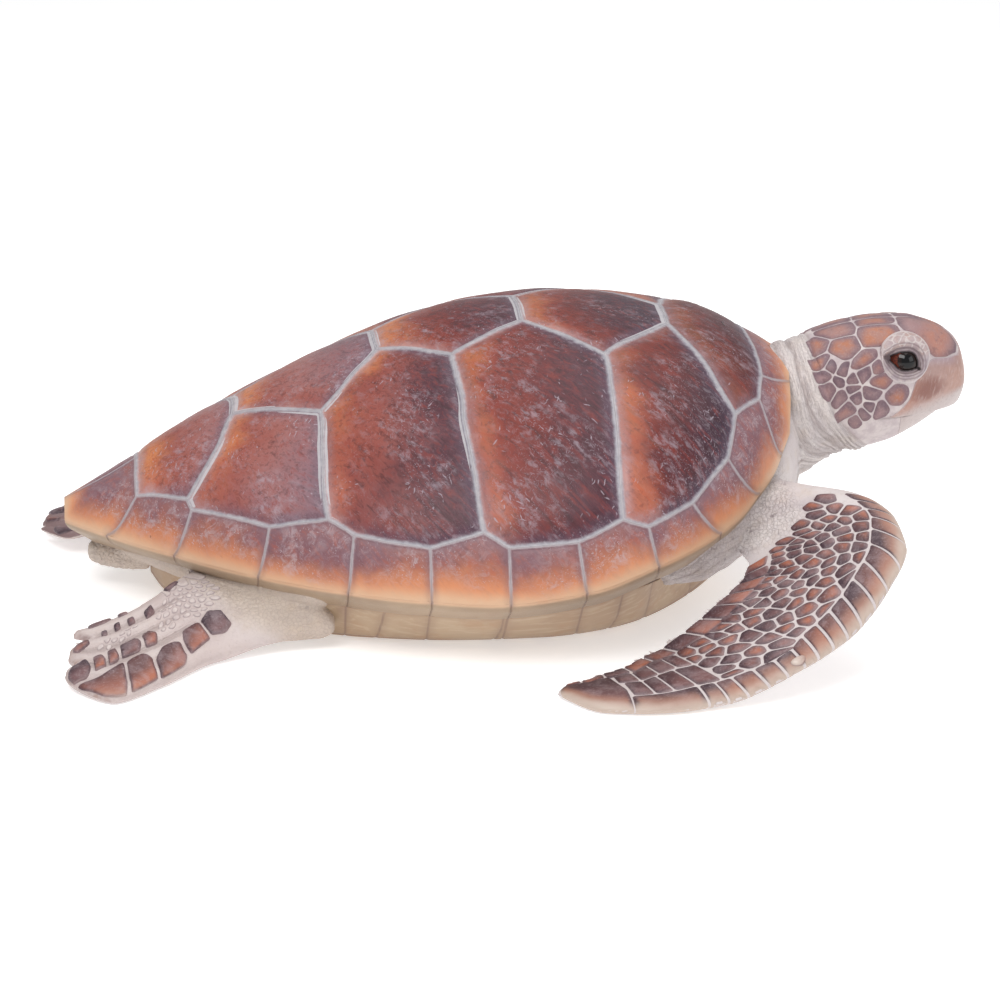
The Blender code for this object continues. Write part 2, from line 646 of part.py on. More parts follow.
def main():
    clear_scene()
    parts = new_collection("green_sea_turtle")
    cutters = new_collection("cutters")

    carapace = build_carapace(parts)
    plastron = build_plastron(parts)
    trunk = build_trunk(parts)
    neck = build_neck(parts)
    head = build_head(parts, cutters)
    build_lower_jaw(parts, cutters)
    tail = build_tail(parts)
    limbs = [
        build_front_flipper("front_flipper_right", FRONT_FLIPPER, parts),
        build_front_flipper("front_flipper_left", mirror_y(FRONT_FLIPPER), parts),
        build_hind_flipper("hind_flipper_right", HIND_RIGHT, parts),
        build_hind_flipper("hind_flipper_left", HIND_LEFT, parts),
    ]

    over_carapace = swollen(carapace, cutters)
    over_plastron = swollen(plastron, cutters)
    over_trunk = swollen(trunk, cutters)
    cut_by([plastron], [over_carapace])
    cut_by([trunk], [over_carapace, over_plastron])
    cut_by([neck, tail, *limbs], [over_carapace, over_plastron, over_trunk])

    for side, name in ((-1, "right"), (1, "left")):
        build_eye(side, EYE_RADIUS, "eye_" + name, parts)
        socket = as_cutter(build_eye(side, EYE_RADIUS + GAP, "socket_" + name, cutters))
        boolean(head, socket, "DIFFERENCE")
    for side, limb, name in ((-1, limbs[0], "right"), (1, limbs[1], "left")):
        claw = build_claw(side, "claw_" + name, parts)
        boolean(limb, swollen(claw, cutters), "DIFFERENCE")


main()
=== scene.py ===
"""Painted life-size display model of a green sea turtle: shell, skin, scales, eyes, floor, light and camera.

Frame: +X toward the head, +Y to the turtle's left, +Z up, floor at Z = 0. Metres.
"""

import math

import bpy
import numpy as np
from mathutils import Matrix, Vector, kdtree
from mathutils.bvhtree import BVHTree


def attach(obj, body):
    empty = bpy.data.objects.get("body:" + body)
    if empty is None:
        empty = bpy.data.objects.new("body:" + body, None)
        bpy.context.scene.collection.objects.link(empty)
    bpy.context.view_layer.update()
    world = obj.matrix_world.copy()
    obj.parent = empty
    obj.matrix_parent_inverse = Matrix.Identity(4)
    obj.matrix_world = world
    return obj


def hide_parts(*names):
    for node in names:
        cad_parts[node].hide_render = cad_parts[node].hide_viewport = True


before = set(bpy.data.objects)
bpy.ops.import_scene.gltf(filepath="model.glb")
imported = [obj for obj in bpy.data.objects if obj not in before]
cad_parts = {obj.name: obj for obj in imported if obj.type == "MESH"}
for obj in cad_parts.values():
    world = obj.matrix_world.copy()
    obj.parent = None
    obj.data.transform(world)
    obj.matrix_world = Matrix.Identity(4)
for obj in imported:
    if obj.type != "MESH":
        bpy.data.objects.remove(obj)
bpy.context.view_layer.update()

# ---------------------------------------------------------------- shape of the shell, as in the solids

SHELL_REAR_X = -0.432
SHELL_LENGTH = 0.715
FRONT_CORNER_SETBACK = 0.010
HALF_WIDTH = (
    (0, 0.016), (0.055, 0.058), (0.15, 0.119), (0.25, 0.176), (0.37, 0.228), (0.47, 0.259),
    (0.58, 0.279), (0.68, 0.284), (0.77, 0.269), (0.865, 0.226), (0.93, 0.178), (0.965, 0.145), (1, 0.095),
)
RIM_HEIGHT = (
    (0, 0.076), (0.15, 0.073), (0.37, 0.071), (0.55, 0.072), (0.68, 0.084), (0.77, 0.101),
    (0.865, 0.117), (0.93, 0.137), (0.965, 0.150), (1, 0.168),
)
RIDGE_HEIGHT = (
    (0, 0.094), (0.06, 0.116), (0.16, 0.160), (0.25, 0.193), (0.33, 0.220), (0.41, 0.244), (0.49, 0.264),
    (0.575, 0.275), (0.66, 0.278), (0.74, 0.274), (0.83, 0.265), (0.88, 0.260), (0.94, 0.242), (1, 0.217),
)
ARCH_POWER = ((0, 1.7), (0.25, 1.7), (0.5, 1.75), (0.7, 2.1), (0.85, 2.3), (1, 2.3))
ARCH_ROUNDNESS = 0.62

# Junctions of the seams on one half of the shell, as (u, v)
CROSS_SEAM_END = ((0.234, 0.155), (0.430, 0.125), (0.628, 0.150), (0.830, 0.138))
VERTEBRAL_CORNER = ((0.166, 0.758), (0.349, 0.406), (0.526, 0.300), (0.731, 0.390), (0.900, 0.752))
COSTAL_FOOT = ((0.347, 0.868), (0.546, 0.912), (0.726, 0.932))
MARGINAL_INNER = (
    (0.100, 0.650), (0.171, 0.820), (0.271, 0.890), (0.379, 0.912), (0.476, 0.940), (0.577, 0.942),
    (0.666, 0.950), (0.759, 0.958), (0.824, 0.946), (0.879, 0.886), (0.940, 0.700), (0.950, 0.525),
)
MARGINAL_OUTER_U = (0.057, 0.147, 0.256, 0.371, 0.477, 0.578, 0.676, 0.773, 0.863, 0.930, 0.981)
NUCHAL_OUTER_V = 0.580

# Underside of the rim plates: (in toward the axis, down from the rim)
RIM_PROFILE = (
    (0.0, 0.0), (0.0002, 0.0022), (0.0012, 0.0052), (0.0042, 0.0090), (0.0095, 0.0128), (0.0200, 0.0198),
    (0.0300, 0.0262), (0.0380, 0.0290),
)

# ---------------------------------------------------------------- small tools

SIDES = ((-1, "right"), (1, "left"))
DEGREE = math.pi / 180


def smooth(pairs, t):
    """Values at t of the shape-keeping cubic through (t, value) pairs, where a value may be a point."""
    knots = np.array([pair[0] for pair in pairs], float)
    values = np.array([pair[1] for pair in pairs], float).reshape(len(pairs), -1)
    steps = np.diff(knots)[:, None]
    slopes = np.diff(values, axis=0) / steps
    before, after = slopes[:-1], slopes[1:]
    same_way = before * after > 0
    mean = 2 * before * after / np.where(same_way, before + after, 1)
    tangents = np.vstack([slopes[:1], np.where(same_way, mean, 0), slopes[-1:]])
    t = np.clip(np.asarray(t, float), knots[0], knots[-1])
    i = np.clip(np.searchsorted(knots, t) - 1, 0, len(knots) - 2)
    step = steps[i, 0][..., None]
    s = (t - knots[i])[..., None] / step
    value = (
        (2 * s**3 - 3 * s**2 + 1) * values[i]
        + (s**3 - 2 * s**2 + s) * step * tangents[i]
        + (3 * s**2 - 2 * s**3) * values[i + 1]
        + (s**3 - s**2) * step * tangents[i + 1]
    )
    return value[..., 0] if values.shape[1] == 1 else value


def ease(x, low, high):
    """0 below low, 1 above high, and a smooth step between."""
    s = np.clip((np.asarray(x, float) - low) / (high - low), 0, 1)
    return s * s * (3 - 2 * s)


def bump_at(x, centre, width):
    return np.exp(-(((np.asarray(x, float) - centre) / width) ** 2))


def unit(vectors):
    return vectors / np.maximum(np.linalg.norm(vectors, axis=-1, keepdims=True), 1e-12)


def hashed(cells, seed):
    """A number from 0 to 1 for each whole-number cell."""
    cells = cells.astype(np.int64)
    h = cells[..., 0] * 374761393 + cells[..., 1] * 668265263 + cells[..., 2] * 2147483647 + seed * 974634777
    h = (h ^ (h >> 13)) * 1274126177
    h = h ^ (h >> 16)
    return (h & 0xFFFFFF) / float(0xFFFFFF)


def noise(points, size, seed=0):
    """Smooth noise from -1 to 1 whose features are about size across."""
    p = np.asarray(points, float) / size
    base = np.floor(p)
    f = p - base
    w = f * f * f * (f * (f * 6 - 15) + 10)
    total = np.zeros(p.shape[:-1])
    for corner in np.ndindex(2, 2, 2):
        share = np.prod(np.where(np.array(corner) == 1, w, 1 - w), axis=-1)
        total += share * hashed(base + np.array(corner), seed)
    return total * 2 - 1


def pebbles(points, size, seed):
    """How much nearer each point lies to one jittered cell centre than to the next: 0 between two pebbles."""
    p = np.asarray(points, float) / size
    base = np.floor(p)
    first = np.full(p.shape[:-1], 9.0)
    second = first.copy()
    for offset in np.ndindex(3, 3, 3):
        cell = base + np.array(offset) - 1
        centre = cell + np.stack([hashed(cell, seed + k) for k in range(3)], axis=-1)
        distance = np.linalg.norm(p - centre, axis=-1)
        second = np.where(distance < first, first, np.minimum(second, distance))
        first = np.minimum(first, distance)
    return second - first


def grid_faces(rows, columns, wrap=False):
    """Quads between neighbouring rows of points, which may close round into a tube."""
    r, c = np.meshgrid(np.arange(rows - 1), np.arange(columns if wrap else columns - 1), indexing="ij")
    here, after = r * columns + c, r * columns + (c + 1) % columns
    return np.stack([here, after, after + columns, here + columns], axis=-1).reshape(-1, 4)


def fan_faces(loop, hub):
    """Triangles from a closed loop of point numbers to one hub point."""
    loop = np.asarray(loop)
    return np.stack([loop, np.roll(loop, -1), np.full(len(loop), hub)], axis=-1)


def mesh_object(name, points, face_sets, attributes=None, flat=0):
    """A smooth-shaded object from points, arrays of quads and triangles, and numbers at each point.
    The last faces, as many as flat, stay flat, so that their edge with the others is sharp."""
    mesh = bpy.data.meshes.new(name)
    corners = np.concatenate([np.asarray(faces).ravel() for faces in face_sets])
    sizes = np.concatenate([np.full(len(faces), np.asarray(faces).shape[1]) for faces in face_sets])
    mesh.vertices.add(len(points))
    mesh.vertices.foreach_set("co", np.asarray(points, np.float32).ravel())
    mesh.loops.add(len(corners))
    mesh.loops.foreach_set("vertex_index", corners.astype(np.int32))
    mesh.polygons.add(len(sizes))
    mesh.polygons.foreach_set("loop_start", np.concatenate([[0], np.cumsum(sizes)[:-1]]).astype(np.int32))
    mesh.update(calc_edges=True)
    mesh.shade_smooth()
    if flat:
        mesh.polygons.foreach_set("use_smooth", np.arange(len(sizes)) < len(sizes) - flat)
    for key, values in (attributes or {}).items():
        add_attribute(mesh, key, values)
    obj = bpy.data.objects.new(name, mesh)
    bpy.context.scene.collection.objects.link(obj)
    return obj


def add_attribute(mesh, key, values):
    made = mesh.attributes.new(key, "FLOAT", "POINT")
    made.data.foreach_set("value", np.asarray(values, np.float32).ravel())


def set_points(mesh, points):
    mesh.vertices.foreach_set("co", np.asarray(points, np.float32).ravel())
    mesh.update()


def read_vectors(items, key):
    flat = np.empty(len(items) * 3, np.float32)
    items.foreach_get(key, flat)
    return flat.reshape(-1, 3).astype(float)


def points_of(mesh):
    return read_vectors(mesh.vertices, "co")


def normals_of(mesh):
    return read_vectors(mesh.vertex_normals, "vector")


def away_from(middle, points, directions):
    """The directions, turned round where they point toward the middle."""
    return np.where(((points - middle) * directions).sum(axis=-1)[..., None] < 0, -directions, directions)


def wound_outward(points, faces, outward):
    """The faces, turned over if most of the quads, which come first, face inward."""
    corners = points[faces[0][:, :3]]
    across = np.cross(corners[:, 1] - corners[:, 0], corners[:, 2] - corners[:, 0])
    facing = (across * outward[faces[0][:, 0]]).sum(axis=1)
    return [face[:, ::-1] for face in faces] if np.median(facing) < 0 else faces


def dress(piece, surface, node):
    """Gives a piece its material, and says what it rides on, which solid it replaces."""
    piece.data.materials.append(surface)
    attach(piece, "root")
    if node:
        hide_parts(node)


# ---------------------------------------------------------------- materials


def paint(red, green, blue):
    """A colour from its 0-255 display values."""
    channels = [c / 255 for c in (red, green, blue)]
    return tuple(c / 12.92 if c <= 0.04045 else ((c + 0.055) / 1.055) ** 2.4 for c in channels) + (1.0,)


class Field:
    """A number that varies over a surface: arithmetic with it adds the nodes that work it out."""

    def __init__(self, owner, socket):
        self.owner, self.socket = owner, socket

    def __add__(self, other):
        return self.owner.calc("ADD", self, other)

    def __sub__(self, other):
        return self.owner.calc("SUBTRACT", self, other)

    def __rsub__(self, other):
        return self.owner.calc("SUBTRACT", other, self)

    def __mul__(self, other):
        return self.owner.calc("MULTIPLY", self, other)

    def __truediv__(self, other):
        return self.owner.calc("DIVIDE", self, other)

    def __pow__(self, other):
        return self.owner.calc("POWER", self, other)

    def __abs__(self):
        return self.owner.calc("ABSOLUTE", self)


class Paint:
    """A Principled material, its colour so far, and short calls that add nodes to it."""

    def __init__(self, name, roughness=0.5, specular=0.4):
        self.material = bpy.data.materials.new(name)
        self.material.use_nodes = True
        self.tree = self.material.node_tree
        self.shader = self.tree.nodes["Principled BSDF"]
        self.shader.inputs["Roughness"].default_value = roughness
        self.shader.inputs["Specular IOR Level"].default_value = specular
        self.where = self.node("ShaderNodeTexCoord").outputs["Object"]
        self.colour = None

    def node(self, kind, **settings):
        made = self.tree.nodes.new(kind)
        for key, value in settings.items():
            setattr(made, key, value)
        return made

    def put(self, made, **values):
        """Sets or links inputs of a node, where From_Min stands for the input From Min."""
        for key, value in values.items():
            self.join(made.inputs[key.replace("_", " ")], value)

    def join(self, socket, value):
        value = value.socket if isinstance(value, Field) else value
        if isinstance(value, bpy.types.NodeSocket):
            self.tree.links.new(value, socket)
        else:
            socket.default_value = value

    def feed(self, made, *values):
        """Sets or links the first inputs of a node, in their order."""
        for socket, value in zip(made.inputs, values):
            self.join(socket, value)
        return made.outputs[0]

    def number(self, name):
        return Field(self, self.node("ShaderNodeAttribute", attribute_name=name).outputs["Fac"])

    def numbers(self, *names):
        return [self.number(name) for name in names]

    def calc(self, operation, *values):
        return Field(self, self.feed(self.node("ShaderNodeMath", operation=operation), *values))

    def span(self, value, low, high, out_low=0.0, out_high=1.0):
        """A smooth step of value from low to high."""
        made = self.node("ShaderNodeMapRange", interpolation_type="SMOOTHSTEP")
        self.put(made, Value=value, From_Min=low, From_Max=high, To_Min=out_low, To_Max=out_high)
        return Field(self, made.outputs[0])

    def noise(self, scale, detail=3.0, roughness=0.55, distortion=0.0, vector=None):
        made = self.node("ShaderNodeTexNoise")
        self.put(made, Vector=vector or self.where, Scale=scale, Detail=detail, Roughness=roughness)
        self.put(made, Distortion=distortion)
        return Field(self, made.outputs["Fac"])

    def cells(self, scale, feature="DISTANCE_TO_EDGE", vector=None):
        made = self.node("ShaderNodeTexVoronoi", feature=feature)
        self.put(made, Vector=vector or self.where, Scale=scale)
        return Field(self, made.outputs["Distance"])

    def strands(self, direction, length, width, vector=None):
        """Places for a texture drawn out along a direction: its cells are length by width, in metres."""
        made = self.node("ShaderNodeMapping", vector_type="TEXTURE")
        x, y, z = unit(np.array(direction, float))
        turn = (0.0, -math.asin(z), math.atan2(y, x))
        self.put(made, Vector=vector or self.where, Scale=(length, width, width), Rotation=turn)
        return made.outputs["Vector"]

    def swayed(self, size, reach):
        """Object places, each moved up to about reach by noise of that size."""
        drift = self.node("ShaderNodeTexNoise")
        self.put(drift, Vector=self.where, Scale=1 / size)
        centred = self.node("ShaderNodeVectorMath", operation="SUBTRACT")
        self.feed(centred, drift.outputs["Color"], (0.5, 0.5, 0.5))
        moved = self.node("ShaderNodeVectorMath", operation="MULTIPLY_ADD")
        return self.feed(moved, centred.outputs[0], (reach * 2, reach * 2, reach * 2), self.where)

    def along(self, axis):
        made = self.node("ShaderNodeSeparateXYZ")
        self.feed(made, self.where)
        return Field(self, made.outputs[axis])

    def mix(self, factor, first, second):
        made = self.node("ShaderNodeMix", data_type="RGBA")
        for index, value in ((0, factor), (6, first), (7, second)):
            self.join(made.inputs[index], value)
        return made.outputs[2]

    def lay(self, share, *over):
        """Covers a share of the colour so far, with 0-255 values or with a colour that nodes make."""
        self.colour = self.mix(share, self.colour, paint(*over) if len(over) == 3 else over[0])

    def finish(self, height=None, distance=0.0004, strength=1.0, roughness=None):
        """The material, with its colour and, where height is given, a fine relief."""
        self.put(self.shader, Base_Color=self.colour)
        if roughness is not None:
            self.put(self.shader, Roughness=roughness)
        if height is not None:
            relief = self.node("ShaderNodeBump")
            self.put(relief, Height=height, Distance=distance, Strength=strength)
            self.put(self.shader, Normal=relief.outputs["Normal"])
        return self.material


# Directions over the near side of the dome: brush strokes and the scratches across them
BRUSH_LINE = (0.62, -0.50, -0.60)
SCRATCH_LINES = (
    (0.55, -0.62, -0.50), (0.90, -0.30, -0.25), (0.15, -0.75, -0.62), (0.70, 0.55, 0.45), (0.30, 0.75, 0.60),
)


def scratches(p, length=0.0150, width=0.0024, reach=0.20):
    """Short crisp strokes that lie in several directions."""
    places = p.swayed(0.006, 0.0016)
    found = None
    for line in SCRATCH_LINES:
        away = p.cells(1.0, "F1", p.strands(line, length, width, places))
        stroke = p.span(away, reach * 0.45, reach, 1.0, 0.0)
        found = stroke if found is None else p.calc("MAXIMUM", found, stroke)
    return found


def scute_paint():
    """Red-brown plates, each with an orange glow at its rear, plum elsewhere, and grey brush strokes."""
    p = Paint("scute_paint", roughness=0.44, specular=0.32)
    edge, rear, side = p.numbers("edge", "rear", "side")
    broad = p.noise(9.0, 3.0, 0.6)
    medium = p.noise(34.0, 4.0, 0.62, 0.6)
    fine = p.noise(190.0, 4.0, 0.65)
    drag = p.noise(1.0, 5.0, 0.62, 0.7, p.strands(BRUSH_LINE, 0.042, 0.0048))
    ahead = (broad - 0.5) * 0.26 + p.along(0)
    wander = (broad - 0.5) * 0.075 + rear
    wander += (medium - 0.5) * 0.03
    wander += (drag - 0.5) * 0.022
    glow = p.span(wander, 0.004, 0.044, 1.0, 0.0)
    glow *= p.span(p.noise(6.5, 2.0, 0.5), 0.34, 0.6, 0.3, 1.0)
    glow *= p.span(side, 0.93, 1.0, 1.0, 0.3)
    glow *= p.span(ahead, 0.1, 0.26, 1.0, 0.55)
    plum = p.span((broad - 0.5) * 0.1 + rear, 0.045, 0.13)
    low = p.span(side, 0.55, 1.0) * p.span(medium, 0.3, 0.62)
    plum = p.calc("MAXIMUM", plum, low)
    rear_body = p.mix(plum, paint(156, 102, 96), paint(136, 104, 112))
    middle_body = p.mix(plum, paint(102, 35, 31), paint(76, 40, 51))
    front_body = p.mix(plum, paint(72, 31, 37), paint(54, 41, 56))
    p.colour = p.mix(p.span(ahead, -0.21, -0.05), rear_body, middle_body)
    p.lay(p.span(ahead, 0.04, 0.22), front_body)
    ember = p.span((drag - 0.5) * 0.05 + wander, 0.02, 0.085, 0.75, 0.0)
    ember *= p.span(ahead, 0.05, 0.2, 0.9, 0.3)
    p.lay(ember * p.span(side, 0.85, 1.0, 1.0, 0.2), 142, 60, 42)
    p.lay(p.span(drag, 0.48, 0.68, 0.0, 0.5), 130, 52, 42)
    strands = p.span(drag, 0.32, 0.52, 0.74, 0.0) * p.span(ahead, -0.22, -0.05, 0.45, 1.0)
    p.lay(strands, 58, 26, 32)
    golden = p.mix(p.span(broad * 0.6 + side, 0.55, 1.05), paint(204, 128, 78), paint(190, 116, 90))
    p.lay(glow * 0.85, golden)
    p.lay(glow * p.span(drag, 0.5, 0.64, 0.0, 0.6), 180, 82, 44)
    p.lay(glow * p.span(drag, 0.32, 0.46, 0.35, 0.0), 132, 62, 48)
    p.lay(p.span(fine, 0.52, 0.66) * 0.34, 60, 34, 40)
    shade = p.span(medium * 0.012 + edge, 0.006, 0.024, 1.0, 0.0)
    haze = glow * p.span(medium * 0.014 + edge, 0.008, 0.022, 1.0, 0.0)
    cool = shade * (0.58 - haze * 0.5)
    p.lay(cool, 92, 78, 94)
    p.lay(haze * 0.62, 176, 148, 150)
    patch = p.span(p.noise(14.0, 3.0, 0.65, 0.3), 0.38, 0.60)
    patch *= 1.0 - glow * 0.45
    patch = p.calc("MAXIMUM", patch, shade * 0.7)
    broken = p.span(p.noise(420.0, 3.0, 0.7), 0.38, 0.56)
    streaks = scratches(p) * broken
    long_ones = scratches(p, 0.034, 0.0052, 0.16) * p.span(p.noise(26.0, 2.0), 0.5, 0.6)
    speck = p.span(p.noise(560.0, 2.0, 0.7), 0.64, 0.72)
    dusting = p.span(p.noise(1.0, 6.0, 0.74, 0.3, p.strands(BRUSH_LINE, 0.017, 0.0085)), 0.48, 0.68)
    grey = streaks * (patch * 0.42 + 0.03)
    grey = p.calc("MAXIMUM", grey, long_ones * 0.62)
    grey = p.calc("MAXIMUM", grey, speck * (patch * 0.45))
    grey = p.calc("MAXIMUM", grey, dusting * (patch * 0.44 + 0.03))
    p.lay(grey, 170, 158, 168)
    ragged = (p.noise(120.0, 4.0, 0.7) - 0.5) * 0.004 + edge
    seam = p.span(ragged, 0.0012, 0.0046, 1.0, 0.0)
    worn = p.span(p.noise(150.0, 4.0, 0.62), 0.30, 0.70)
    line = p.mix(worn, paint(146, 144, 152), paint(172, 169, 174))
    # painted highlight: the middle of each seam is painted lighter, along its crest
    line = p.mix(p.span(edge, 0.0, 0.0016, 0.55, 0.0), line, paint(198, 194, 196))
    p.lay(seam * 0.9, line)
    height = streaks * 0.35 + drag * 1.3
    height += medium * 0.8
    return p.finish(height, 0.0006, 0.6, p.span(grey, 0.0, 0.6, 0.42, 0.6))


def marginal_paint():
    """Rim plates: dusty plum and rose at the top, peach lower down, a cream rim, and beige below it."""
    p = Paint("marginal_paint", roughness=0.44, specular=0.32)
    edge, rim, under, tone = p.numbers("edge", "rim", "under", "tone")
    broad = p.noise(14.0, 3.0, 0.6)
    medium = p.noise(42.0, 4.0, 0.62, 0.5)
    drag = p.noise(1.0, 5.0, 0.65, 0.5, p.strands(BRUSH_LINE, 0.018, 0.0045))
    wander = (medium - 0.5) * 0.01 + rim
    wander += (broad - 0.5) * 0.034
    wander += (tone - 0.5) * -0.01
    wander += (drag - 0.5) * 0.01
    p.colour = p.mix(p.span(broad, 0.35, 0.65), paint(148, 92, 80), paint(122, 80, 86))
    p.lay(p.span(drag, 0.48, 0.64, 0.0, 0.5), 168, 84, 58)
    p.lay(p.span(drag, 0.32, 0.46, 0.45, 0.0), 98, 58, 62)
    warm = p.span(wander, 0.004, 0.038, 1.0, 0.0)
    p.lay(warm * p.span(drag, 0.3, 0.6, 0.75, 0.95), 206, 136, 96)
    top = p.span(wander, 0.022, 0.048)
    p.lay(top * p.span(medium, 0.3, 0.7, 0.2, 0.62), 124, 98, 106)
    cream = p.span((wander - rim) * 0.35 + rim, -0.002, 0.015, 1.0, 0.0)
    p.lay(cream * 0.9, 206, 172, 142)
    patch = p.span(p.noise(20.0, 2.0, 0.6, 0.3), 0.34, 0.58)
    strokes = scratches(p) * p.span(p.noise(420.0, 3.0, 0.7), 0.38, 0.56)
    grey = (patch * 0.6 + 0.15) * strokes
    dusting = p.span(p.noise(85.0, 6.0, 0.78, 0.8), 0.46, 0.66) * (patch * 0.35 + 0.12)
    grey = p.calc("MAXIMUM", grey, dusting) * p.span(wander, 0.004, 0.02)
    p.lay(grey, 184, 174, 180)
    below = p.mix(p.span(broad, 0.3, 0.7), paint(166, 143, 120), paint(150, 128, 107))
    below = p.mix(p.span(medium, 0.5, 0.75) * 0.35, below, paint(148, 118, 96))
    p.lay(under, below)
    shade = p.span(medium * 0.006 + edge, 0.003, 0.013, 0.5, 0.0)
    shade *= p.span(rim, 0.0, 0.02, 0.4, 1.0)
    shade *= 1.0 - under * 0.9
    p.lay(shade, 112, 92, 102)
    ragged = (p.noise(140.0, 4.0, 0.7) - 0.5) * 0.0024 + edge
    seam = p.span(ragged, 0.0004, 0.0026, 0.85, 0.0)
    seam *= 1.0 - under * 0.55
    line = p.mix(p.span(rim, 0.0, 0.02), paint(158, 136, 128), paint(172, 164, 168))
    line = p.mix(under, line, paint(128, 100, 88))
    p.lay(seam, line)
    height = strokes * 0.3 + drag * 1.2
    return p.finish(height, 0.0005, 0.55, p.span(grey, 0.0, 0.6, 0.42, 0.58))


# ---------------------------------------------------------------- shell plates


def shell(u, v):
    """Points of the dome: v is 0 on the ridge and 1 or -1 on the rim."""
    u, v = np.broadcast_arrays(np.asarray(u, float), np.asarray(v, float))
    rim, ridge = smooth(RIM_HEIGHT, u), smooth(RIDGE_HEIGHT, u)
    power = np.interp(u, *zip(*ARCH_POWER))
    rise = np.maximum(1 - np.abs(v) ** power, 0) ** ARCH_ROUNDNESS
    setback = FRONT_CORNER_SETBACK * v**2 * np.clip((u - 0.9) / 0.1, 0, 1)
    x = SHELL_REAR_X + SHELL_LENGTH * u - setback
    return np.stack([x, v * smooth(HALF_WIDTH, u), rim + (ridge - rim) * rise], axis=-1)


def shell_normals(u, a):
    step = 0.006
    u0, u1 = (np.clip(u + shift, 0, 1) for shift in (-step, step))
    a0, a1 = (np.clip(a + shift, -math.pi / 2, math.pi / 2) for shift in (-2 * step, 2 * step))
    along = shell(u1, np.sin(a)) - shell(u0, np.sin(a))
    across = shell(u, np.sin(a1)) - shell(u, np.sin(a0))
    return unit(np.cross(along, across))


def mirrored(corners):
    return [(u, -v) for u, v in reversed(corners)]


def vertebral_scutes():
    last = len(CROSS_SEAM_END)
    for k in range(last + 1):
        rear = [MARGINAL_INNER[0]] if k == 0 else [CROSS_SEAM_END[k - 1]]
        front = [MARGINAL_INNER[10], MARGINAL_INNER[11]] if k == last else [CROSS_SEAM_END[k]]
        half = rear + [VERTEBRAL_CORNER[k]] + front
        on_ridge = [(MARGINAL_INNER[0][0], 0.0)] if k == 0 else []
        yield half + mirrored(half) + on_ridge


def costal_scutes():
    inner = MARGINAL_INNER
    feet = (VERTEBRAL_CORNER[0], *COSTAL_FOOT, VERTEBRAL_CORNER[4])
    touching = (inner[1:3], inner[3:5], inner[5:7], inner[7:10])
    for k in range(4):
        outer_side = [feet[k], *touching[k], feet[k + 1]]
        top = [VERTEBRAL_CORNER[k + 1]] if k < 3 else []
        yield outer_side + top + [CROSS_SEAM_END[k]] + ([VERTEBRAL_CORNER[k]] if k else [])


def marginal_scutes():
    inner = MARGINAL_INNER
    on_inner_edge = {
        1: [VERTEBRAL_CORNER[0]], 3: [COSTAL_FOOT[0]], 5: [COSTAL_FOOT[1]],
        7: [COSTAL_FOOT[2]], 10: [VERTEBRAL_CORNER[4]],
    }
    for k in range(1, 12):
        outer = [(MARGINAL_OUTER_U[k - 1], 1.0)]
        outer += [(MARGINAL_OUTER_U[k], 1.0)] if k < 11 else [(1.0, 1.0), (1.0, NUCHAL_OUTER_V)]
        yield outer + [inner[k]] + on_inner_edge.get(k, []) + [inner[k - 1]]
    yield [(0.0, 0.0), (0.0, 1.0), (MARGINAL_OUTER_U[0], 1.0), inner[0], (inner[0][0], 0.0)]


def nuchal_scute():
    half = [MARGINAL_INNER[11], (1.0, NUCHAL_OUTER_V)]
    return half + mirrored(half)


SEAM_STEP = 0.0017
REAR_LEVELS = 24
UNDER_ROWS = 18
RING_REACH = np.array([0, 0.6, 1.2, 1.9, 2.7, 3.6, 4.8, 6.5, 9, 12.5, 17, 23, 31, 42, 56, 74]) * 0.001
SEAM_DEPTH, CROWN_HEIGHT = 0.0010, 0.0009
PLATE_HOLLOW = 0.007
CROWN_REACH = 0.022
SEAM_WIDTH = 0.0036
RIM_SEAM_WIDTH = 0.0024


def on_same_rim(start, end):
    return abs(start[1]) == 1 == abs(end[1]) or start[0] == end[0] in (0.0, 1.0)


def scute_outline(corners):
    """Places (u, a) round a plate, each with 1 where it lies on the rim of the shell."""
    places, on_rim = [], []
    for start, end in zip(corners, corners[1:] + corners[:1]):
        flipped = end < start
        near, far = (end, start) if flipped else (start, end)
        near_a, far_a = math.asin(near[1]), math.asin(far[1])
        share = np.linspace(0, 1, 12)
        path = shell(near[0] + (far[0] - near[0]) * share, np.sin(near_a + (far_a - near_a) * share))
        count = max(2, round(np.linalg.norm(np.diff(path, axis=0), axis=1).sum() / SEAM_STEP))
        share = np.arange(count + 1) / count
        side = np.stack([near[0] + (far[0] - near[0]) * share, near_a + (far_a - near_a) * share], axis=-1)
        side = side[::-1] if flipped else side
        places.append(side[:-1])
        on_rim.append(np.full(count, on_same_rim(start, end)))
    return np.concatenate(places), np.concatenate(on_rim)


def wandered(places):
    """Lets the seams stray a little from straight lines, but not at the rim or across the ridge."""
    u, a = places[..., 0], places[..., 1]
    spot = shell(u, np.sin(a)) * np.array([1.0, 1.0, 0.6])
    hold = np.clip((math.pi / 2 - np.abs(a)) / 0.5, 0, 1)
    hold = hold * np.clip(u / 0.08, 0, 1) * np.clip((1 - u) / 0.08, 0, 1)
    du = noise(spot, 0.034, 3) * 0.0022 / SHELL_LENGTH
    da = noise(spot, 0.034, 9) * 0.0075 * np.clip(np.abs(a) / 0.2, 0, 1)
    return np.stack([u + du * hold, a + da * hold], axis=-1)


def distance_to(points, lines):
    """Distance from each point to the nearest of many points."""
    if not len(lines):
        return np.full(len(points), 1.0)
    found = np.full(len(points), 9.0)
    for start in range(0, len(points), 2000):
        block = points[start:start + 2000]
        gaps = np.linalg.norm(block[:, None, :] - lines[None, :, :], axis=-1)
        found[start:start + 2000] = gaps.min(axis=1)
    return found


